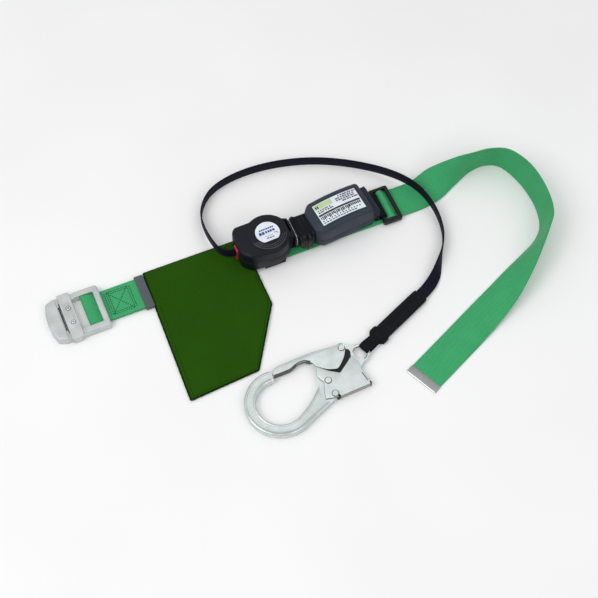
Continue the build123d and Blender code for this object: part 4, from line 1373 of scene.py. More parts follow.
@dataclass
class Buckle:
    """Details of the belt buckle: its slot, relief lines, slider panel and screws."""

    screw_mid: float = -302.5
    screw_side: float = 12.0

    def relief(self) -> None:
        """Make the frame's dark slot and its raised lines."""
        slot = Shape("buckle_slot_shadow")
        slot.block(Vector((-315.9, -20.5, 9.8)), Vector((-314.2, 20.5, 10.6)), 0.12, 2)
        slot.finished(Body.ROOT, "print_ink_and_shade_black", "buckle_alloy")
        lines = Shape("buckle_end_relief")
        for v, left, right in ((-2.0, -332.5, -324.0), (-19.0, -327.5, -322.0)):
            lines.block(Vector((left, v - 0.3, 12.8)), Vector((right, v + 0.3, 13.4)), 0.15, 2)
        lines.finished(Body.ROOT, "cast_alloy_silver", "buckle_alloy")

    def slider_details(self) -> None:
        """Make the slider's raised panel, and the painted shade in the crosses of its screws and in rings
        round their heads.
        """
        panel = Shape("buckle_slider_panel")
        outline = rounded([(-298.0, -22.0), (-298.0, 22.0), (-310.0, 22.0), (-310.0, -22.0)], 1.5)
        panel.edged(panel.plate(outline, 13.2, 13.75)[:1], 0.35, 2)
        for low, high in ((-5.2, -2.4), (-0.6, 0.6), (2.6, 5.0)):
            panel.block(Vector((-307.5, low, 13.6)), Vector((-306.0, high, 13.95)), 0.12, 1)
        panel.finished(Body.SLIDER, "cast_alloy_silver", "buckle_alloy")
        screws = Shape("buckle_screw_cross_shade")
        for side in (-1, 1):
            v = side * self.screw_side
            for wide, deep in ((1.8, 0.35), (0.35, 1.8)):
                screws.block(
                    Vector((self.screw_mid - wide, v - deep, 14.6)),
                    Vector((self.screw_mid + wide, v + deep, 14.92)),
                    0.1,
                    1,
                )
        screws.finished(Body.SLIDER, "print_ink_and_shade_black", "bright_steel")
        ring_shade = Shape("buckle_screw_ring_shade")
        for side in (-1, 1):
            profile = [(3.0, 13.5), (3.75, 13.5), (3.75, 13.84), (3.0, 13.84), (3.0, 13.5)]
            ring_shade.turned_profile(profile, (self.screw_mid, side * self.screw_side))
        ring_shade.finished(Body.SLIDER, "painted_shade_steel_dark", "bright_steel")

    def build(self) -> None:
        """Make the buckle's details."""
        self.relief()
        self.slider_details()


@dataclass
class KeeperBand:
    """Grey elastic band that holds the belt's layers together."""

    left: float = -199.5
    length: float = 13.5

    def build(self) -> None:
        """Make the band as a hollow ring that bulges a little in its middle."""
        low, high = 0.45, 8.2
        middle = (low + high) / 2
        rings = []
        stations = [(0.0, 0.5), (0.6, 0.1), (6.7, 0.0), (12.9, 0.1), (13.5, 0.5)]
        for travel, shrink in stations:
            section = band_ring(56.9 - 2 * shrink, high - low - 2 * shrink, 2.6, 5)
            rings.append([Vector((self.left + travel, across, middle + deep)) for across, deep in section])
        for travel, shrink in reversed(stations):
            grow = 0.45 - shrink * 0.6
            section = band_ring(52.2 + 2 * grow, 4.7 + 2 * (0.45 - grow), 0.9, 5)
            rings.append([Vector((self.left + travel, across, middle + deep)) for across, deep in section])
        band = Shape("belt_keeper_band")
        band.loft(rings, closed=True)
        for face in band.bm.faces:
            for loop in face.loops:
                x, y, z = loop.vert.co * MM
                loop[band.map].uv = (x, y + 0.8 * z)
        piece = band.finished(Body.KEEPER, "keeper_elastic_grey", "keeper_band", ("belt_keeper",))
        softened(piece)


# ---------------------------------------------------------------- hook pouch
@dataclass
class Pouch:
    """Canvas pouch: two panels sewn round three sides, with a sleeve for the belt at the top."""

    left: float = -184.0
    right: float = -30.5
    far: float = 31.0
    cell: float = 3.0

    def outline(self, grow: float = 0.0) -> list[Flat]:
        """Give the pouch's plan, grown outwards.

        Args:
            grow: Distance that its open sides are moved out.

        Returns:
            The corners, in order.
        """
        return [
            (self.left - grow, self.far),
            (self.left - 8.0 - 1.05 * grow, -187.0 - grow),
            (-88.0 + 0.4 * grow, -180.0 - grow),
            (self.right + grow, -88.0 - 0.5 * grow),
            (self.right + grow, self.far),
        ]

    def front_height(self, u: float, v: float) -> float:
        """Give the front panel's height: over the belt, down to the surface, with slack waves.

        Args:
            u: Place along the belt.
            v: Place across it.

        Returns:
            The height in millimetres.
        """
        fall = min(max((-25.5 - v) / 11.0, 0.0), 1.0)
        fall = fall * fall * (3 - 2 * fall)
        over_far = min(max((self.far - v) / 4.0, 0.0), 1.0)
        body = 5.1 * (1 - fall) + 3.1 * fall
        edge = min(u - (self.left - 8.0 * min(max((self.far - v) / 218.0, 0.0), 1.0)), self.right - u) / 16.0
        edge = min(max(edge, 0.0), 1.0)
        near = min(max((v + 184.0) / 18.0, 0.0), 1.0)
        slack = edge * near * fall
        waves = 0.55 * sin(u * 0.055 + v * 0.021) + 0.45 * sin(v * 0.061 - u * 0.018 + 1.3)
        belly = 1.5 * sin(pi * min(max((-v - 30.0) / 157.0, 0.0), 1.0))
        return body * (0.72 + 0.28 * sqrt(over_far)) + slack * (belly + waves)

    def panel(self, name: str, front: bool) -> Shape:
        """Cut a panel of cloth to the pouch's plan.

        Args:
            name: Name of the piece.
            front: Whether it is the front panel.

        Returns:
            The panel's shape.
        """
        shape = Shape(name)
        width, height = 174.0, 230.0
        place = Matrix.Translation((-108.0, -78.0, 0.0)) @ Matrix.Diagonal((width / 2, height / 2, 1.0, 1.0))
        bmesh.ops.create_grid(
            shape.bm,
            x_segments=round(width / self.cell),
            y_segments=round(height / self.cell),
            size=1.0,
            matrix=place,
        )
        corners = self.outline()
        for index, corner in enumerate(corners):
            after = corners[(index + 1) % len(corners)]
            run = Vector(after) - Vector(corner)
            bmesh.ops.bisect_plane(
                shape.bm,
                geom=shape.bm.verts[:] + shape.bm.edges[:] + shape.bm.faces[:],
                plane_co=(*corner, 0.0),
                plane_no=(run.y, -run.x, 0.0),
                clear_outer=True,
            )
        for face in shape.bm.faces:
            for loop in face.loops:
                loop[shape.map].uv = (loop.vert.co.x * MM, loop.vert.co.y * MM)
        for vert in shape.bm.verts:
            vert.co.z = self.front_height(vert.co.x, vert.co.y) if front else 1.45
        return shape

    def panels(self) -> None:
        cloth = 1.05
        front = self.panel("pouch_front_panel", True).finished(
            Body.POUCH, "pouch_canvas_green", "pouch_canvas", ("pouch_front", "pouch_belt_loop")
        )
        thickened(front, cloth * MM)
        back = self.panel("pouch_back_panel", False).finished(
            Body.POUCH, "pouch_canvas_green", "pouch_canvas", ("pouch_back",)
        )
        thickened(back, cloth * MM)

    def edging(self) -> None:
        """Make the overlocked edge round the three sewn sides and the fold at the belt."""
        path = rounded(self.outline(), 2.0, 3)
        start = path.index(min(path, key=lambda p: (p[0] - self.right) ** 2 + (p[1] - self.far) ** 2))
        path = path[start:] + path[:start]
        rings = []
        count = len(path)
        dense = []
        for index, corner in enumerate(path):
            after = Vector(path[(index + 1) % count])
            pieces = max(1, round((after - Vector(corner)).length / 4.0))
            dense += [Vector(corner).lerp(after, step / pieces) for step in range(pieces)]
        for index, point in enumerate(dense):
            run = dense[(index + 1) % len(dense)] - dense[index - 1]
            out = Vector((run.y, -run.x)).normalized()
            if (point - Vector((-108.0, -78.0))).dot(out) < 0:
                out = -out
            at_belt = min(max((point.y + 36.0) / 10.0, 0.0), 1.0)
            top = self.front_height(point.x, point.y) + 0.75
            low, high = 0.9, top + 0.15
            middle, tall = (low + high) / 2, (high - low) / 2
            wobble = 0.12 * sin(index * 2.1)
            inner, outer = (-2.2, 1.1 + wobble)
            if at_belt > 0.5 and abs(point.y - self.far) > 1.5:
                # The sleeve is open where the belt goes through, so only its top edge is hemmed.
                low = top - 1.5
                middle, tall = (low + high) / 2, (high - low) / 2
            rings.append(
                [
                    Vector(
                        (
                            point.x + out.x * ((inner + outer) / 2 + (outer - inner) / 2 * cos(a)),
                            point.y + out.y * ((inner + outer) / 2 + (outer - inner) / 2 * cos(a)),
                            middle + tall * sin(a),
                        )
                    )
                    for a in [2 * pi * step / 10 for step in range(10)]
                ]
            )
        edge = Shape("pouch_edging")
        edge.loft(rings, closed=True).mapped_flat()
        edge.finished(Body.POUCH, "pouch_edging_green", "pouch_binding", ("pouch_binding",), sharp=80.0)

    def seams(self) -> None:
        """Sew the line inside the edge and the one under the belt."""
        inset = [(self.left + 4.6, -30.0), (self.left - 2.6, -182.6), (-89.0, -175.8)]
        inset += [(self.right - 4.6, -86.5), (self.right - 4.6, -30.0)]
        seams = Shape("pouch_stitching")
        line = []
        for start, end in zip(inset, inset[1:]):
            for step in range(12):
                u, v = Vector(start).lerp(Vector(end), step / 12)
                line.append(Vector((u, v, self.front_height(u, v) + 0.6)))
        seams.stitches(line, 3.0, 2.1, 0.7)
        seams.finished(Body.POUCH, "pouch_edging_green", "pouch_binding")

    def build(self) -> None:
        """Make the pouch's pieces."""
        self.panels()
        self.edging()
        self.seams()


# ---------------------------------------------------------------- reel
def grown(outline: list[Flat], distance: float) -> list[Flat]:
    """Move a closed outline's points outwards along their own normals.

    Args:
        outline: Points, counterclockwise.
        distance: Distance in millimetres, negative for inwards.

    Returns:
        The moved points.
    """
    moved = []
    for index, point in enumerate(outline):
        run = Vector(outline[(index + 1) % len(outline)]) - Vector(outline[index - 1])
        out = Vector((run.y, -run.x)).normalized()
        moved.append((point[0] + out.x * distance, point[1] + out.y * distance))
    return moved


@dataclass
class Reel:
    """Retracting reel: two casing halves, grip ridges, label and the red webbing guide."""

    radius: float = 33.5
    low: float = 8.1
    split: float = 27.0
    top: float = 46.0
    label_radius: float = 18.0

    def outline(self) -> list[Flat]:
        """Give the casing's plan: round, with square shoulders and a hitch lug.

        Returns:
            The outline.
        """
        shoulders = rounded(
            [(-17.5, 28.6), (-42.0, 28.2), (-48.0, 20.0), (-48.0, -18.0), (-37.0, -30.0), (-6.0, -33.0)],
            4.0,
            5,
        )[6:-6]
        near = arc((0.0, 0.0), self.radius, 262.0, 329.0, 14)
        lug = rounded([(29.95, -15.0), (36.0, -15.0), (36.0, 15.0), (29.95, 15.0)], 2.5, 4)[5:-5]
        far = arc((0.0, 0.0), self.radius, 31.0, 121.4, 18)
        return far + shoulders + near + lug

    def casing(self) -> None:
        """Make the two halves, with rounded rims and a fine parting line."""
        outline = self.outline()
        rear = [(self.low, -1.6), (8.6, -0.6), (9.8, 0.0), (26.6, 0.0), (26.85, -0.45), (self.split, -0.5)]
        front = [(self.split, -0.5), (27.15, -0.45), (27.4, 0.0), (40.6, 0.0), (42.4, -0.25), (43.8, -0.9)]
        front += [(44.9, -1.9), (45.6, -3.2), (45.95, -4.6), (self.top, -6.0)]
        for name, levels, node in (
            ("reel_rear_casing", rear, "reel_rear_cover"),
            ("reel_front_casing", front, "reel_front_cover"),
        ):
            shape = Shape(name)
            shape.loft([[Vector((x, y, z)) for x, y in grown(outline, grow)] for z, grow in levels])
            shape.finished(Body.ROOT, "reel_nylon_black", "reel_casing", (node,), sharp=50.0)

    def face(self) -> None:
        """Make the raised round face, its grip ridges and the step round the label."""
        face = Shape("reel_face_disc")
        face.turned_profile(
            [
                (0.0, 46.9),
                (18.6, 46.9),
                (18.9, 47.25),
                (19.6, 47.3),
                (20.1, 46.75),
                (28.3, 46.6),
                (29.2, 46.4),
                (29.7, 45.8),
                (29.7, 45.4),
                (0.0, 45.4),
            ],
            (0.0, 0.0),
        )
        face.finished(Body.ROOT, "reel_nylon_black", "reel_casing", sharp=35.0)
        ridges = Shape("reel_grip_ridges")
        for radius, half_angle in ((21.7, 62.0), (24.7, 66.0), (27.7, 70.0)):
            bead = [(radius + 0.9 * cos(pi * s / 6), 46.3 + 1.7 * sin(pi * s / 6)) for s in range(7)]
            ridges.turned_profile([*bead, bead[0]], (0.0, 0.0), 2 * half_angle, 270.0 - half_angle, 40)
        bmesh.ops.holes_fill(ridges.bm, edges=[e for e in ridges.bm.edges if e.is_boundary], sides=12)
        # The ridges are painted lighter, as highlight.
        ridges.finished(Body.ROOT, "reel_ridge_painted_highlight", "reel_casing")
        flutes = Shape("reel_rim_flutes")
        for index in range(19):
            angle = radians(226.0 + index * 5.2)
            foot = (self.radius * cos(angle), self.radius * sin(angle))
            flutes.turned_profile(
                [(0.0, 16.0), (0.75, 16.6), (0.75, 24.6), (0.0, 25.2)], foot, 360.0, 0.0, 10
            )
        flutes.finished(Body.ROOT, "reel_nylon_black", "reel_casing")

    def label(self) -> None:
        """Make the round label, cut off straight at its near side, with plain printed blocks."""
        label = Shape("reel_round_label")
        disc = label.plate(arc((0.0, 0.0), self.label_radius, -52.0, 236.0, 60), 46.85, 47.12)
        label.edged(disc[:1], 0.08, 1)
        label.finished(Body.ROOT, "label_vinyl_white", "reel_label", ("reel_label",))
        blocks = {
            "print_ink_blue": [
                (-11.0, 4.6, 2.4, 2.6), (-8.0, 4.7, 2.0, 2.6), (-5.4, 4.8, 2.6, 2.6), (-2.2, 4.9, 1.6, 2.6),
                (0.0, 5.0, 2.6, 2.6), (3.2, 5.1, 2.2, 2.6), (6.0, 5.2, 2.8, 2.6), (9.4, 5.3, 1.8, 2.6),
                (-13.0, -2.2, 4.0, 4.8), (-8.4, -2.0, 3.8, 4.8), (-3.2, -1.2, 2.8, 3.8),
                (0.4, -1.0, 3.0, 3.8), (4.0, -0.8, 3.2, 3.8), (8.0, -0.6, 3.4, 3.8), (-7.0, -6.4, 13.0, 0.6),
            ],
            "print_ink_red": [(8.6, -4.0, 2.6, 1.1), (11.4, -4.8, 2.2, 1.3), (13.2, -6.6, 1.3, 1.8)],
            "print_ink_and_shade_black": [(-5.0, -10.6, 3.8, 1.7), (-0.4, -10.6, 3.4, 1.7), (4.0, -10.4, 2.6, 1.7)],
        }
        for ink, places in blocks.items():
            shape = Shape(f"reel_label_{ink}")
            for x, y, wide, tall in places:
                shape.block(Vector((x, y, 47.05)), Vector((x + wide, y + tall, 47.19)), 0.05, 1)
            shape.finished(Body.ROOT, ink, "reel_label")

    def guide(self) -> None:
        """Make the red oval guide that the strap runs out through."""
        middle = Vector((-48.0, 1.0, 20.95))
        outer = rounded([(7.6, 12.6), (-7.6, 12.6), (-7.6, -12.6), (7.6, -12.6)], 7.4, 10)
        slot = rounded([(1.9, 9.4), (-1.9, 9.4), (-1.9, -9.4), (1.9, -9.4)], 1.8, 10)
        rings = []
        lip = [(0.4, 0.0), (-1.4, 0.0), (-2.2, 0.12), (-2.7, 0.34), (-2.6, 0.6), (-1.9, 0.85)]
        for depth, share in [*lip, (-0.6, 1.0), (1.5, 1.0)]:
            rings.append(
                [
                    middle + Vector((depth, a[0] + (b[0] - a[0]) * share, a[1] + (b[1] - a[1]) * share))
                    for a, b in zip(outer, slot)
                ]
            )
        guide = Shape("webbing_guide_ring")
        guide.loft(rings, closed=True)
        guide.finished(Body.ROOT, "guide_acetal_red", "guide_red", ("webbing_guide",), sharp=60.0)
        mouth = Shape("reel_outlet_shadow")
        mouth.block(Vector((-48.6, -0.9, 11.7)), Vector((-47.6, 2.9, 30.2)), 0.2, 1)
        mouth.finished(Body.ROOT, "print_ink_and_shade_black", "reel_casing")

    def build(self) -> None:
        """Make the reel's pieces."""
        self.casing()
        self.face()
        self.label()
        self.guide()


@dataclass
class Link:
    """Ribbed gaiter at the hitch lug, with a thin bright hoop that paints a highlight arc, and the webbing
    loop on the link.
    """

    middle: float = 21.0

    def hoop(self, name: str, u: float, half: float, tall: float, rod: float, finish: str, slot: str) -> None:
        """Make one oval hoop round the hitch.

        Args:
            name: Name of the piece.
            u: Place along the belt.
            half: Half width.
            tall: Half height.
            rod: Radius of its rod.
            finish: Name of its finish.
            slot: The record's material slot.
        """
        path = rounded([(half, tall), (-half, tall), (-half, -tall), (half, -tall)], 8.0, 8)
        rings = []
        for index, point in enumerate(path):
            run = Vector(path[(index + 1) % len(path)]) - Vector(path[index - 1])
            out = Vector((run.y, -run.x)).normalized()
            rings.append(
                [
                    Vector(
                        (
                            u + rod * sin(a),
                            point[0] + out.x * rod * cos(a),
                            self.middle + point[1] + out.y * rod * cos(a),
                        )
                    )
                    for a in [2 * pi * step / 10 for step in range(10)]
                ]
            )
        hoop = Shape(name)
        hoop.loft(rings, closed=True)
        hoop.finished(Body.ROOT, finish, slot)

    def gaiter(self) -> None:
        """Make the soft ribbed gaiter, which sags on its near side."""
        stations = [
            (41.0, 15.0, 16.5, 11.2), (44.0, 16.5, 20.5, 13.0), (48.0, 16.8, 25.0, 14.2),
            (52.5, 16.8, 28.5, 14.8), (57.0, 16.6, 29.0, 14.8), (61.0, 16.0, 26.0, 14.4),
            (65.0, 15.6, 21.0, 13.8), (69.5, 15.2, 17.2, 13.2),
        ]
        pairs = [[Vector((far, near, tall)), Vector((u, 0.0, 0.0))] for u, far, near, tall in stations]
        rows = smooth_row(pairs, 6)
        rings = []
        for index, (size, place) in enumerate(rows):
            rib = 0.75 * cos(2 * pi * index / 9)
            far, near, tall = size.x + rib, size.y + rib, size.z + rib
            ring = rounded([(far, tall), (-near, tall), (-near, -tall), (far, -tall)], 8.0, 8)
            sag = 0.9 * sin(index * 0.7)
            rings.append([Vector((place.x + sag * v / 20.0, v, self.middle + z)) for v, z in ring])
        gaiter = Shape("hitch_gaiter")
        gaiter.loft(rings)
        gaiter.finished(Body.ROOT, "gaiter_rubber_black", "link_black", sharp=60.0)

    def build(self) -> None:
        """Make the hoops, the gaiter and the webbing loop."""
        for index, (u, half, rod) in enumerate(((37.2, 17.4, 2.2), (40.8, 17.6, 2.0))):
            rib = f"hitch_gaiter_rib_{index + 1}"
            self.hoop(rib, u, half, 12.8, rod, "gaiter_rubber_black", "link_black")
        self.gaiter()
        # Painted highlight: a thin bright hoop where a pale arc of light lies on the gaiter.
        self.hoop("hitch_highlight_hoop_1", 38.9, 18.6, 13.8, 0.5, "plated_steel_bright_and_highlight", "bright_steel")
        inner = 5.2
        profile = [(69.5, 34.9), (60.0, 34.9), (52.0, 34.9)]
        profile += [
            (46.0 + inner * cos(radians(a)), 29.6 + inner * sin(radians(a))) for a in range(90, 271, 18)
        ]
        profile += [(52.0, 24.3), (60.0, 24.3), (69.5, 24.3)]
        rows = [[Vector((u, v, z)) for v in (-16.5, -8.25, 0.0, 8.25, 16.5)] for u, z in profile]
        strip_piece(
            Shape("absorber_front_webbing"),
            smooth_row(rows, 2),
            1.9,
            Body.ROOT,
            "sleeve_webbing_black",
            "sleeve_webbing",
            ("absorber_front_loop",),
        )


# ---------------------------------------------------------------- energy absorber
@dataclass
class Absorber:
    """Energy absorber: an arched rubber cover with a label, a ribbed neck and webbing loops."""

    low: float = 5.0
    split: float = 19.0
    half: float = 28.0

    def arch(self, x: float) -> float:
        """Give the height of the cover's back at a place along it.

        Args:
            x: Place along the cover.

        Returns:
            The height.
        """
        return 47.5 - 0.0026 * (x - 4.0) ** 2

    def stations(self) -> list[tuple[float, float, float]]:
        """Give place, half width and top of each section of the cover.

        Returns:
            The sections.
        """
        ends = [(-48.0, 17.8, 35.4), (-47.6, 18.8, 36.9), (-46.0, 20.8, 38.2)]
        ends += [(-42.0, 24.8, 40.5), (-38.6, 27.4, 42.2)]
        along = (-36.0, -28.0, -18.0, -8.0, 4.0, 16.0, 28.0, 37.0, 41.0)
        ends += [(x, self.half, self.arch(x)) for x in along]
        return ends + [(43.6, 27.6, 41.6), (45.6, 26.4, 37.6), (46.7, 25.0, 34.6), (47.0, 23.6, 33.0)]

    def section(self, half: float, low: float, high: float, shoulder: float) -> list[Flat]:
        """Give a section of the cover, across and up.

        Args:
            half: Half width.
            low: Height of its underside.
            high: Height of its top.
            shoulder: Width of the sloped edge at its top.

        Returns:
            The section's points.
        """
        corners = [
            (half, low),
            (half, high - shoulder * 1.2),
            (half - shoulder, high),
            (-half + shoulder, high),
            (-half, high - shoulder * 1.2),
            (-half, low),
        ]
        return rounded(corners, 1.3, 3)

    def covers(self) -> None:
        """Make the two halves of the cover."""
        upper = Shape("absorber_upper_shell", ABSORBER)
        upper.loft(
            [
                [Vector((x, y, z)) for y, z in self.section(half, self.split, high, 3.2)]
                for x, half, high in self.stations()
            ]
        )
        upper.finished(
            Body.ROOT, "absorber_rubber_slate", "absorber_casing", ("absorber_upper_cover",), sharp=32.0
        )
        lower = Shape("absorber_lower_shell", ABSORBER)
        plan = rounded(
            [
                (-48.0, -18.5), (-39.0, -28.0), (43.0, -28.0), (47.0, -24.0),
                (47.0, 24.0), (43.0, 28.0), (-39.0, 28.0), (-48.0, 18.5),
            ],
            2.2,
            4,
        )
        levels = [(self.low, -2.0), (5.5, -0.9), (6.6, 0.0), (17.9, 0.0), (18.5, -0.5), (self.split, -0.6)]
        lower.loft([[Vector((x, y, z)) for x, y in grown(plan, grow)] for z, grow in levels])
        lower.finished(
            Body.ROOT, "absorber_rubber_slate", "absorber_casing", ("absorber_lower_cover",), sharp=40.0
        )

    def patch(self, shape: Shape, low: Flat, high: Flat, rise: float, thick: float) -> None:
        """Lay a thin patch over the arched back.

        Args:
            shape: Piece that it is added to.
            low: Its corner at lowest X and Y.
            high: Its corner at highest X and Y.
            rise: Height of its underside above the back.
            thick: Its thickness.
        """
        steps = max(1, round((high[0] - low[0]) / 4.0))
        rings = []
        for step in range(steps + 1):
            x = low[0] + (high[0] - low[0]) * step / steps
            base = self.arch(x) + rise
            rings.append(
                [
                    Vector((x, low[1], base)),
                    Vector((x, high[1], base)),
                    Vector((x, high[1], base + thick)),
                    Vector((x, low[1], base + thick)),
                ]
            )
        shape.loft(rings)

    def label(self) -> None:
        """Make the label in its raised frame, with plain printed blocks and rules."""
        frame_shape = Shape("absorber_label_frame", ABSORBER)
        for low, high in (
            ((-36.6, -21.2), (38.2, -19.4)),
            ((-36.6, 19.4), (38.2, 21.2)),
            ((-37.4, -21.2), (-35.6, 21.2)),
            ((37.2, -21.2), (39.0, 21.2)),
        ):
            self.patch(frame_shape, low, high, -0.4, 1.1)
        frame_shape.finished(Body.ROOT, "absorber_rubber_slate", "absorber_casing", sharp=60.0)
        label = Shape("absorber_white_label", ABSORBER)
        self.patch(label, (-34.5, -18.5), (35.5, 18.5), -0.1, 0.45)
        label.finished(Body.ROOT, "label_vinyl_white", "absorber_label", ("absorber_label",))
        lime = Shape("absorber_label_lime", ABSORBER)
        self.patch(lime, (-33.5, 8.6), (-5.5, 17.6), 0.3, 0.1)
        lime.finished(Body.ROOT, "print_ink_lime", "absorber_label")
        ink = Shape("absorber_label_print", ABSORBER)
        bars = [(-33.4, -3.0, 67.4, 3.0)]
        for row, height in enumerate((14.8, 11.4, 8.0, 4.6)):
            start = (6.0, 0.5, 0.5, 9.0)[row]
            for index in range(8):
                wide = 2.2 + 1.3 * ((index * 7 + row * 3) % 5) / 4
                bars.append((start + index * 3.9, height, min(wide, 34.4 - start - index * 3.9), 2.1))
        for row, height in enumerate((5.4, 2.1)):
            for index in range(6 + row):
                wide = 2.0 + 1.3 * ((index * 5 + row * 2) % 4) / 3
                bars.append((-31.5 + index * 3.7, height, wide, 1.9))
        for index in range(19):
            tall = 4.6 + 1.9 * ((index * 3) % 4) / 3
            bars.append((-32.6 + index * 2.5, -4.0 - tall, 1.3 + 0.35 * (index % 3), tall))
        for index in range(7):
            bars.append((13.8 + index * 2.8, -8.0, 2.0, 4.2))
        for row, height in enumerate((-13.0, -16.4)):
            for index in range(14 - 2 * row):
                wide = 2.2 + 1.2 * ((index * 5 + row * 4) % 5) / 4
                bars.append((-32.4 + index * 4.6, height, wide, 1.6))
        bars += [(-32.0, 10.6, 1.9, 4.4), (-29.2, 10.6, 1.9, 4.4)]
        for x, y, wide, tall in bars:
            if wide > 0.2:
                self.patch(ink, (x, y), (x + wide, y + tall), 0.33, 0.14)
        ink.finished(Body.ROOT, "print_ink_and_shade_black", "absorber_label")

    def neck(self) -> None:
        """Make the ribbed neck at the rear."""
        rings = []
        ribs = [(46.2, -0.6), (47.4, -0.3)]
        for index in range(4):
            start = 47.8 + index * 2.3
            ribs += [(start, -0.7), (start + 0.5, 0.25), (start + 1.4, 0.25), (start + 1.9, -0.7)]
        ribs += [(57.0, -1.2)]
        for x, grow in ribs:
            corners = [
                (25.0 + grow, 5.2),
                (25.0 + grow, 29.0 + grow),
                (-25.0 - grow, 29.0 + grow),
                (-25.0 - grow, 5.2),
            ]
            rings.append([Vector((x, y, z)) for y, z in rounded(corners, 4.0, 5)])
        neck = Shape("absorber_ribbed_neck", ABSORBER)
        neck.loft(rings)
        neck.finished(Body.ROOT, "absorber_rubber_slate", "absorber_casing", ("absorber_neck",), sharp=50.0)

    def rear_loop(self) -> None:
        """Make the webbing loop round the adjuster's front bar."""
        left, right, low, high = 165.0, 182.2, 5.9, 13.4
        path = rounded([(left, low), (right, low), (right, high), (left, high)], 2.6, 4)
        rows = [[Vector((u, v, z)) for v in (-20.0, -9.25, 1.5, 12.25, 23.0)] for u, z in [*path, path[0]]]
        strip_piece(
            Shape("absorber_rear_webbing"),
            rows,
            1.2,
            Body.ROOT,
            "sleeve_webbing_black",
            "sleeve_webbing",
            ("absorber_end_loop",),
        )

    def build(self) -> None:
        """Make the absorber's pieces."""
        self.covers()
        self.label()
        self.neck()
        self.rear_loop()


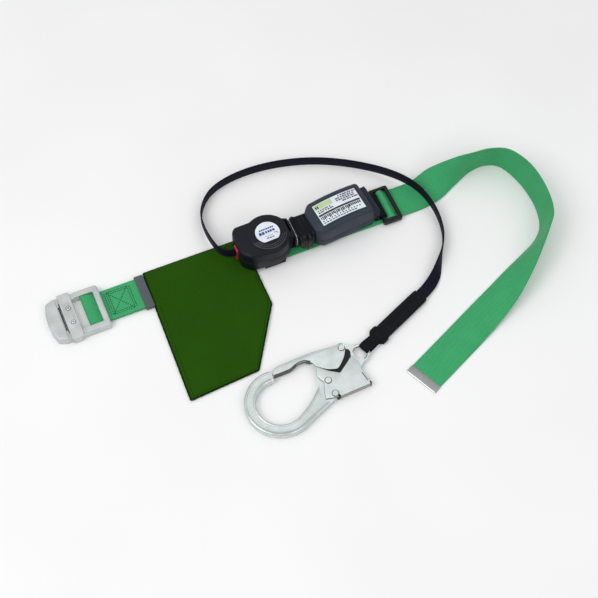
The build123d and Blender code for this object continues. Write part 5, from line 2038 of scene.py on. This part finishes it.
# ---------------------------------------------------------------- snap hook
@dataclass
class SnapHook:
    """Snap hook: rims along its bow, folded sheet gate and lever, and dark rings, lines and patches of
    painted shade.
    """

    bow_centre: Flat = (-118.0, -23.0)
    outer: float = 50.1
    inner: float = 33.9
    sheet: float = 1.5
    gate_inside: float = 2.4
    lever_inside: float = 4.4
    sheet_edge: float = 0.55

    def bow(self) -> None:
        """Make the bow's and shank's faces, with a raised rim along each edge."""
        stations = [
            (a, b, 6.0)
            for a, b in zip(
                arc(self.bow_centre, self.outer, 77.0, 285.0, 52),
                arc(self.bow_centre, self.inner, 77.0, 285.0, 52),
            )
        ]
        stations += [
            ((-96.0, -69.3), (-99.5, -52.6), 5.9),
            ((-86.0, -67.2), (-88.5, -48.6), 5.6),
            ((-77.0, -65.3), (-78.0, -42.9), 5.2),
            ((-69.0, -63.7), (-69.0, -37.5), 4.8),
            ((-62.5, -62.3), (-61.0, -31.9), 4.35),
            ((-59.5, -61.6), (-57.5, -29.2), 3.7),
        ]
        profile = [(0.0, 0.0), (0.0, -1.6), (0.35, -0.75), (1.1, -0.12)]
        profile += [(1.9, 0.0), (2.6, -0.15), (3.3, -0.48)]
        rings = []
        for outer, inner, high in stations:
            start, run = Vector(outer), Vector(inner) - Vector(outer)
            wide = run.length
            side = run.normalized()
            ring = []
            for sign in (1, -1):
                tall = high if sign == 1 else min(high, 5.85)
                heights = [
                    (across, 0.0 if index == 0 else tall + fall)
                    for index, (across, fall) in enumerate(profile)
                ]
                half_ring = heights + [(wide - across, z) for across, z in reversed(heights)]
                half_ring = half_ring[1:-1]
                if sign == -1:
                    half_ring.reverse()
                for across, z in half_ring:
                    place = start + side * across
                    ring.append(Vector((place.x, place.y, sign * z)))
            rings.append(ring)
        bow = Shape("hook_bow_rims", HOOK)
        bow.loft(rings)
        bow.finished(Body.HOOK, "hook_steel_plated", "hook_steel", sharp=35.0)
        self.rim_lines(stations)

    def outline(self, name: str, body: Body, cheek: list[Flat], low: float, high: float) -> None:
        """Make a dark band of painted shade along the edge of a cheek's sheet.

        Args:
            name: Name of the piece.
            body: Body that it rides on.
            cheek: The cheek's outline, clockwise.
            low: Height of its underside.
            high: Height of its top.
        """
        edge = Shape(name, HOOK)
        edge.loft([[Vector((x, y, z)) for x, y in grown(cheek, -0.15)] for z in (low, high)])
        edge.finished(body, "painted_shade_steel_dark", "hook_steel")

    def rim_lines(self, stations: list[tuple[Flat, Flat, float]]) -> None:
        """Make the dark lines of painted shade beside the bow's rims and along the foot of its walls.

        Args:
            stations: Outer place, inner place and half height of each section.
        """
        lines = Shape("hook_bow_shade_lines", HOOK)
        strips = ((3.4, -0.62, -0.36, 0.55), (-0.12, -3.1, -2.3, 0.5), (1.6, -0.2, 0.06, 0.4))
        for across, low, high, wide in strips:
            for turned_round in (False, True):
                rings = []
                for outer, inner, tall in stations:
                    edges = (inner, outer) if turned_round else (outer, inner)
                    start, end = Vector(edges[0]), Vector(edges[1])
                    side = (end - start).normalized()
                    near, far = start + side * across, start + side * (across + wide)
                    rings.append(
                        [
                            Vector((near.x, near.y, tall + low)),
                            Vector((far.x, far.y, tall + low)),
                            Vector((far.x, far.y, tall + high)),
                            Vector((near.x, near.y, tall + high)),
                        ]
                    )
                lines.loft(rings)
        # The lines take the clamp's darker steel colour as painted shade.
        lines.finished(Body.HOOK, "clamp_steel_satin_and_shade", "hook_steel")

    def eye_line(self) -> None:
        """Make the dark line of painted shade inside the eye."""
        line = Shape("hook_eye_shade_line", HOOK)
        profile = [(10.1, -0.9), (10.5, -0.9), (10.5, 0.9), (10.1, 0.9), (10.1, -0.9)]
        line.turned_profile(profile, EYE_CENTRE)
        line.finished(Body.HOOK, "painted_shade_steel_dark", "hook_steel")

    def gate(self) -> None:
        """Make the gate from two cheeks and the wall that joins them, the wall painted dark as shade."""
        cheek = [
            (-104.0, 17.2), (-99.0, 25.2), (-90.0, 26.0), (-41.0, 18.2), (-7.0, 8.2), (0.0, 7.4), (5.0, 3.6),
            (5.2, -2.4), (-4.6, -13.4), (-17.0, -21.6), (-23.4, -24.0), (-35.0, -17.5), (-46.0, -4.0),
            (-47.5, 5.0), (-54.5, 11.2), (-65.0, 13.6), (-79.0, 11.4), (-98.0, 14.6),
        ]
        gate = Shape("hook_gate_sheet", HOOK)
        for low in (self.gate_inside, -self.gate_inside - self.sheet):
            faces = gate.plate(rounded(cheek, 4.0, 4), low, low + self.sheet)
            gate.edged(faces, self.sheet_edge, 2)
        self.outline("hook_gate_edge_shade", Body.GATE, rounded(cheek, 4.0, 4), 2.5, 3.3)
        wall = [(-102.6, 16.6), (-98.0, 15.5), (-90.0, 14.0), (-79.0, 12.3), (-72.0, 13.4), (-65.0, 14.5)]
        wall += [(-59.0, 13.6), (-54.0, 11.8), (-48.4, 6.6)]
        rows = [[Vector((x, y, 0.0))] for x, y in wall]
        line = [row[0] for row in smooth_row(rows, 3)]
        rings = []
        for index, point in enumerate(line):
            run = (line[min(index + 1, len(line) - 1)] - line[max(index - 1, 0)]).normalized()
            side = Vector((-run.y, run.x, 0.0))
            rings.append(
                [
                    point + side * 0.9 * a + Vector((0, 0, 3.95 * b))
                    for a, b in ((1, 1), (-1, 1), (-1, -1), (1, -1))
                ]
            )
        gate.finished(Body.GATE, "hook_steel_plated", "hook_steel", ("hook_gate",))
        # The inner wall takes the dark painted shade colour.
        fold = Shape("hook_gate_wall_painted_shade", HOOK)
        fold.loft(rings)
        fold.finished(Body.GATE, "painted_shade_steel_dark", "hook_steel")

    def lever(self) -> None:
        """Make the safety lever from two cheeks and the folded wall that joins them, with a strip by its edge
        and blocks at the wall's ends painted dark as shade.
        """
        cheek = [
            (-47.0, -5.5), (-37.0, -19.5), (-24.5, -32.0), (-8.0, -24.5), (4.0, -18.5), (7.0, -30.0),
            (3.7, -44.0), (3.0, -69.0), (-46.0, -61.5), (-64.0, -54.0), (-58.0, -42.0), (-51.0, -31.0),
            (-54.6, -18.5),
        ]
        lever = Shape("hook_lever_sheet", HOOK)
        for low in (self.lever_inside, -self.lever_inside - self.sheet):
            faces = lever.plate(rounded(cheek, 2.2, 4), low, low + self.sheet)
            lever.edged(faces, self.sheet_edge, 2)
        self.outline("hook_lever_edge_shade", Body.LEVER, rounded(cheek, 2.2, 4), 4.5, 5.3)
        rings = []
        for x, y in ((3.2, -67.6), (-8.0, -65.9), (-20.0, -64.1), (-32.0, -62.2), (-43.6, -60.4)):
            section = band_ring(2.4, 11.7, 1.1, 3)
            rings.append([Vector((x, y + across, deep)) for across, deep in section])
        lever.finished(Body.LEVER, "hook_steel_plated", "hook_steel", ("safety_lever",))
        # The folded wall is painted darker than the cheeks, as shade.
        fold = Shape("hook_lever_fold", HOOK)
        fold.loft(rings)
        fold.finished(Body.LEVER, "lever_fold_painted_shade", "hook_steel")
        # A dark strip of painted shade along the lever's right edge.
        lip_shade = Shape("hook_lever_lip_shade", HOOK)
        lip_shade.block(Vector((0.4, -63.0, 5.7)), Vector((1.5, -48.0, 6.45)), 0.25, 2)
        lip_shade.finished(Body.LEVER, "painted_shade_steel_dark", "hook_steel")
        # Dark blocks of painted shade beyond the two ends of the folded wall.
        stops = Shape("hook_lever_end_shade", HOOK)
        stops.block(Vector((1.2, -68.9, -3.2)), Vector((3.6, -65.4, 6.2)), 0.4, 2)
        stops.block(Vector((-47.4, -62.2, -3.2)), Vector((-43.6, -58.4, 6.2)), 0.4, 2)
        stops.finished(Body.LEVER, "coated_steel_black_and_shade", "hook_steel")

    def rivet_rings(self) -> None:
        """Make the dark ring of painted shade round each rivet's head."""
        near, far, thick = 4.5, 5.3, 0.3
        for name, place, high, body in (
            ("hook_gate_rivet_ring", GATE_PIVOT, 4.1, Body.HOOK),
            ("hook_lever_rivet_ring", LEVER_PIVOT, 6.1, Body.HOOK),
            ("hook_stop_rivet_ring", LEVER_STOP, 6.1, Body.LEVER),
        ):
            ring = Shape(name, HOOK)
            low = high - thick
            ring.turned_profile([(near, low), (far, low), (far, high), (near, high), (near, low)], place)
            ring.finished(body, "painted_shade_steel_dark", "hook_steel")

    def gap_shade(self) -> None:
        """Make the dark sheet of painted shade in the gap between gate and lever."""
        gap = [
            (-36.0, -15.6), (-33.0, -18.4), (-23.0, -22.6), (-17.0, -20.0), (-5.0, -11.8), (3.4, -2.6),
            (8.6, -9.0), (6.4, -19.4), (-8.0, -26.4), (-24.2, -33.4), (-39.0, -20.0),
        ]
        gap_shade = Shape("hook_gap_painted_shade", HOOK)
        for low in (2.05, -2.3):
            gap_shade.plate(rounded(gap, 1.0, 2), low, low + 0.25)
        gap_shade.finished(Body.HOOK, "coated_steel_black_and_shade", "hook_steel")

    def build(self) -> None:
        """Make the hook's pieces."""
        self.bow()
        self.gate()
        self.lever()
        self.rivet_rings()
        self.eye_line()
        self.gap_shade()


# ---------------------------------------------------------------- studio
@dataclass
class Studio:
    """Plain pale floor, soft light and the camera."""

    target: tuple[float, float, float] = (-0.02594, 0.03987, 0.0)
    distance: float = 2.0
    azimuth: float = -23.0
    elevation: float = 60.0
    focal: float = 83.6

    def camera(self) -> None:
        """Set up the camera."""
        lens = bpy.data.cameras.new("outfit_camera")
        lens.lens = self.focal
        lens.sensor_width = 36.0
        lens.clip_end = 20.0
        camera = bpy.data.objects.new("outfit_camera", lens)
        turn, rise = radians(self.azimuth), radians(self.elevation)
        way = Vector((sin(turn) * cos(rise), -cos(turn) * cos(rise), sin(rise)))
        camera.location = Vector(self.target) + way * self.distance
        camera.rotation_euler = (pi / 2 - rise, 0.0, turn)
        bpy.context.scene.collection.objects.link(camera)
        bpy.context.scene.camera = camera

    def floor(self) -> None:
        """Make the pale floor."""
        bm = bmesh.new()
        bmesh.ops.create_grid(bm, x_segments=2, y_segments=2, size=6.0)
        mesh = bpy.data.meshes.new("studio_floor")
        bm.to_mesh(mesh)
        bm.free()
        floor = bpy.data.objects.new("studio_floor", mesh)
        bpy.context.scene.collection.objects.link(floor)
        graph = Graph("studio_floor_paint", Coordinates.OBJECT)
        graph.colour(graph.ramp(graph.noise(3.0, 2.0), [(0.3, (0.9, 0.9, 0.9)), (0.7, (0.94, 0.94, 0.94))]))
        graph.shader.inputs["Roughness"].default_value = 0.9
        graph.shader.inputs["Specular IOR Level"].default_value = 0.1
        mesh.materials.append(graph.material)

    def light(self, name: str, place: Vector, size: float, power: float) -> None:
        """Hang one soft light, turned to the outfit.

        Args:
            name: Name of the light.
            place: Its place in metres.
            size: Width of its square in metres.
            power: Its power in watts.
        """
        data = bpy.data.lights.new(name, "AREA")
        data.size = size
        data.energy = power
        light = bpy.data.objects.new(name, data)
        light.location = place
        light.rotation_euler = (Vector(self.target) - place).to_track_quat("-Z", "Y").to_euler()
        bpy.context.scene.collection.objects.link(light)

    def dome(self, tree: bpy.types.NodeTree) -> None:
        """Make the dome of light, brighter overhead than at its rim.

        Args:
            tree: Nodes of the world.
        """
        place = tree.nodes.new("ShaderNodeTexCoord")
        split = tree.nodes.new("ShaderNodeSeparateXYZ")
        ramp = tree.nodes.new("ShaderNodeValToRGB")
        ramp.color_ramp.elements.new(0.2)
        levels = ((0.0, 0.85), (0.2, 0.3), (0.85, 0.95))
        for element, (height, level) in zip(ramp.color_ramp.elements, levels):
            element.position = height
            element.color = (level, level, level * 1.01, 1.0)
        tree.links.new(place.outputs["Generated"], split.inputs[0])
        tree.links.new(split.outputs["Z"], ramp.inputs["Fac"])
        tree.links.new(ramp.outputs["Color"], tree.nodes["Background"].inputs["Color"])
        tree.nodes["Background"].inputs["Strength"].default_value = 1.0

    def build(self) -> None:
        """Set up the studio."""
        scene = bpy.context.scene
        world = bpy.data.worlds.new("studio_dome")
        world.use_nodes = True
        self.dome(world.node_tree)
        scene.world = world
        scene.view_settings.view_transform = "Standard"
        scene.view_settings.look = "None"
        self.floor()
        self.camera()
        self.light("soft_left", Vector((-1.5, -0.1, 1.9)), 1.3, 15.0)
        self.light("soft_near", Vector((0.5, -1.6, 1.6)), 0.9, 5.0)


def dress_cad_solids() -> None:
    """Give every CAD solid that shows its own finish."""
    slots = {part["node"]: part["material_slot"] for part in frame["record"]["subparts"]}
    for node, slot_name in slots.items():
        piece = bpy.data.objects[node]
        for holder in piece.material_slots:
            holder.material = finish_named(CAD_FINISHES[slot_name])


def main() -> None:
    """Build the outfit piece by piece."""
    logging.basicConfig(level=logging.INFO, format="%(name)s: %(message)s", stream=sys.stdout)
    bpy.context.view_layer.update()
    dress_cad_solids()
    Studio().build()
    for part in (
        LanyardStrap(),
        LanyardEnd(),
        Belt(),
        Buckle(),
        KeeperBand(),
        Pouch(),
        Reel(),
        Link(),
        Absorber(),
        SnapHook(),
    ):
        LOG.info("building %s", type(part).__name__)
        part.build()


if __name__ == "__main__":
    main()
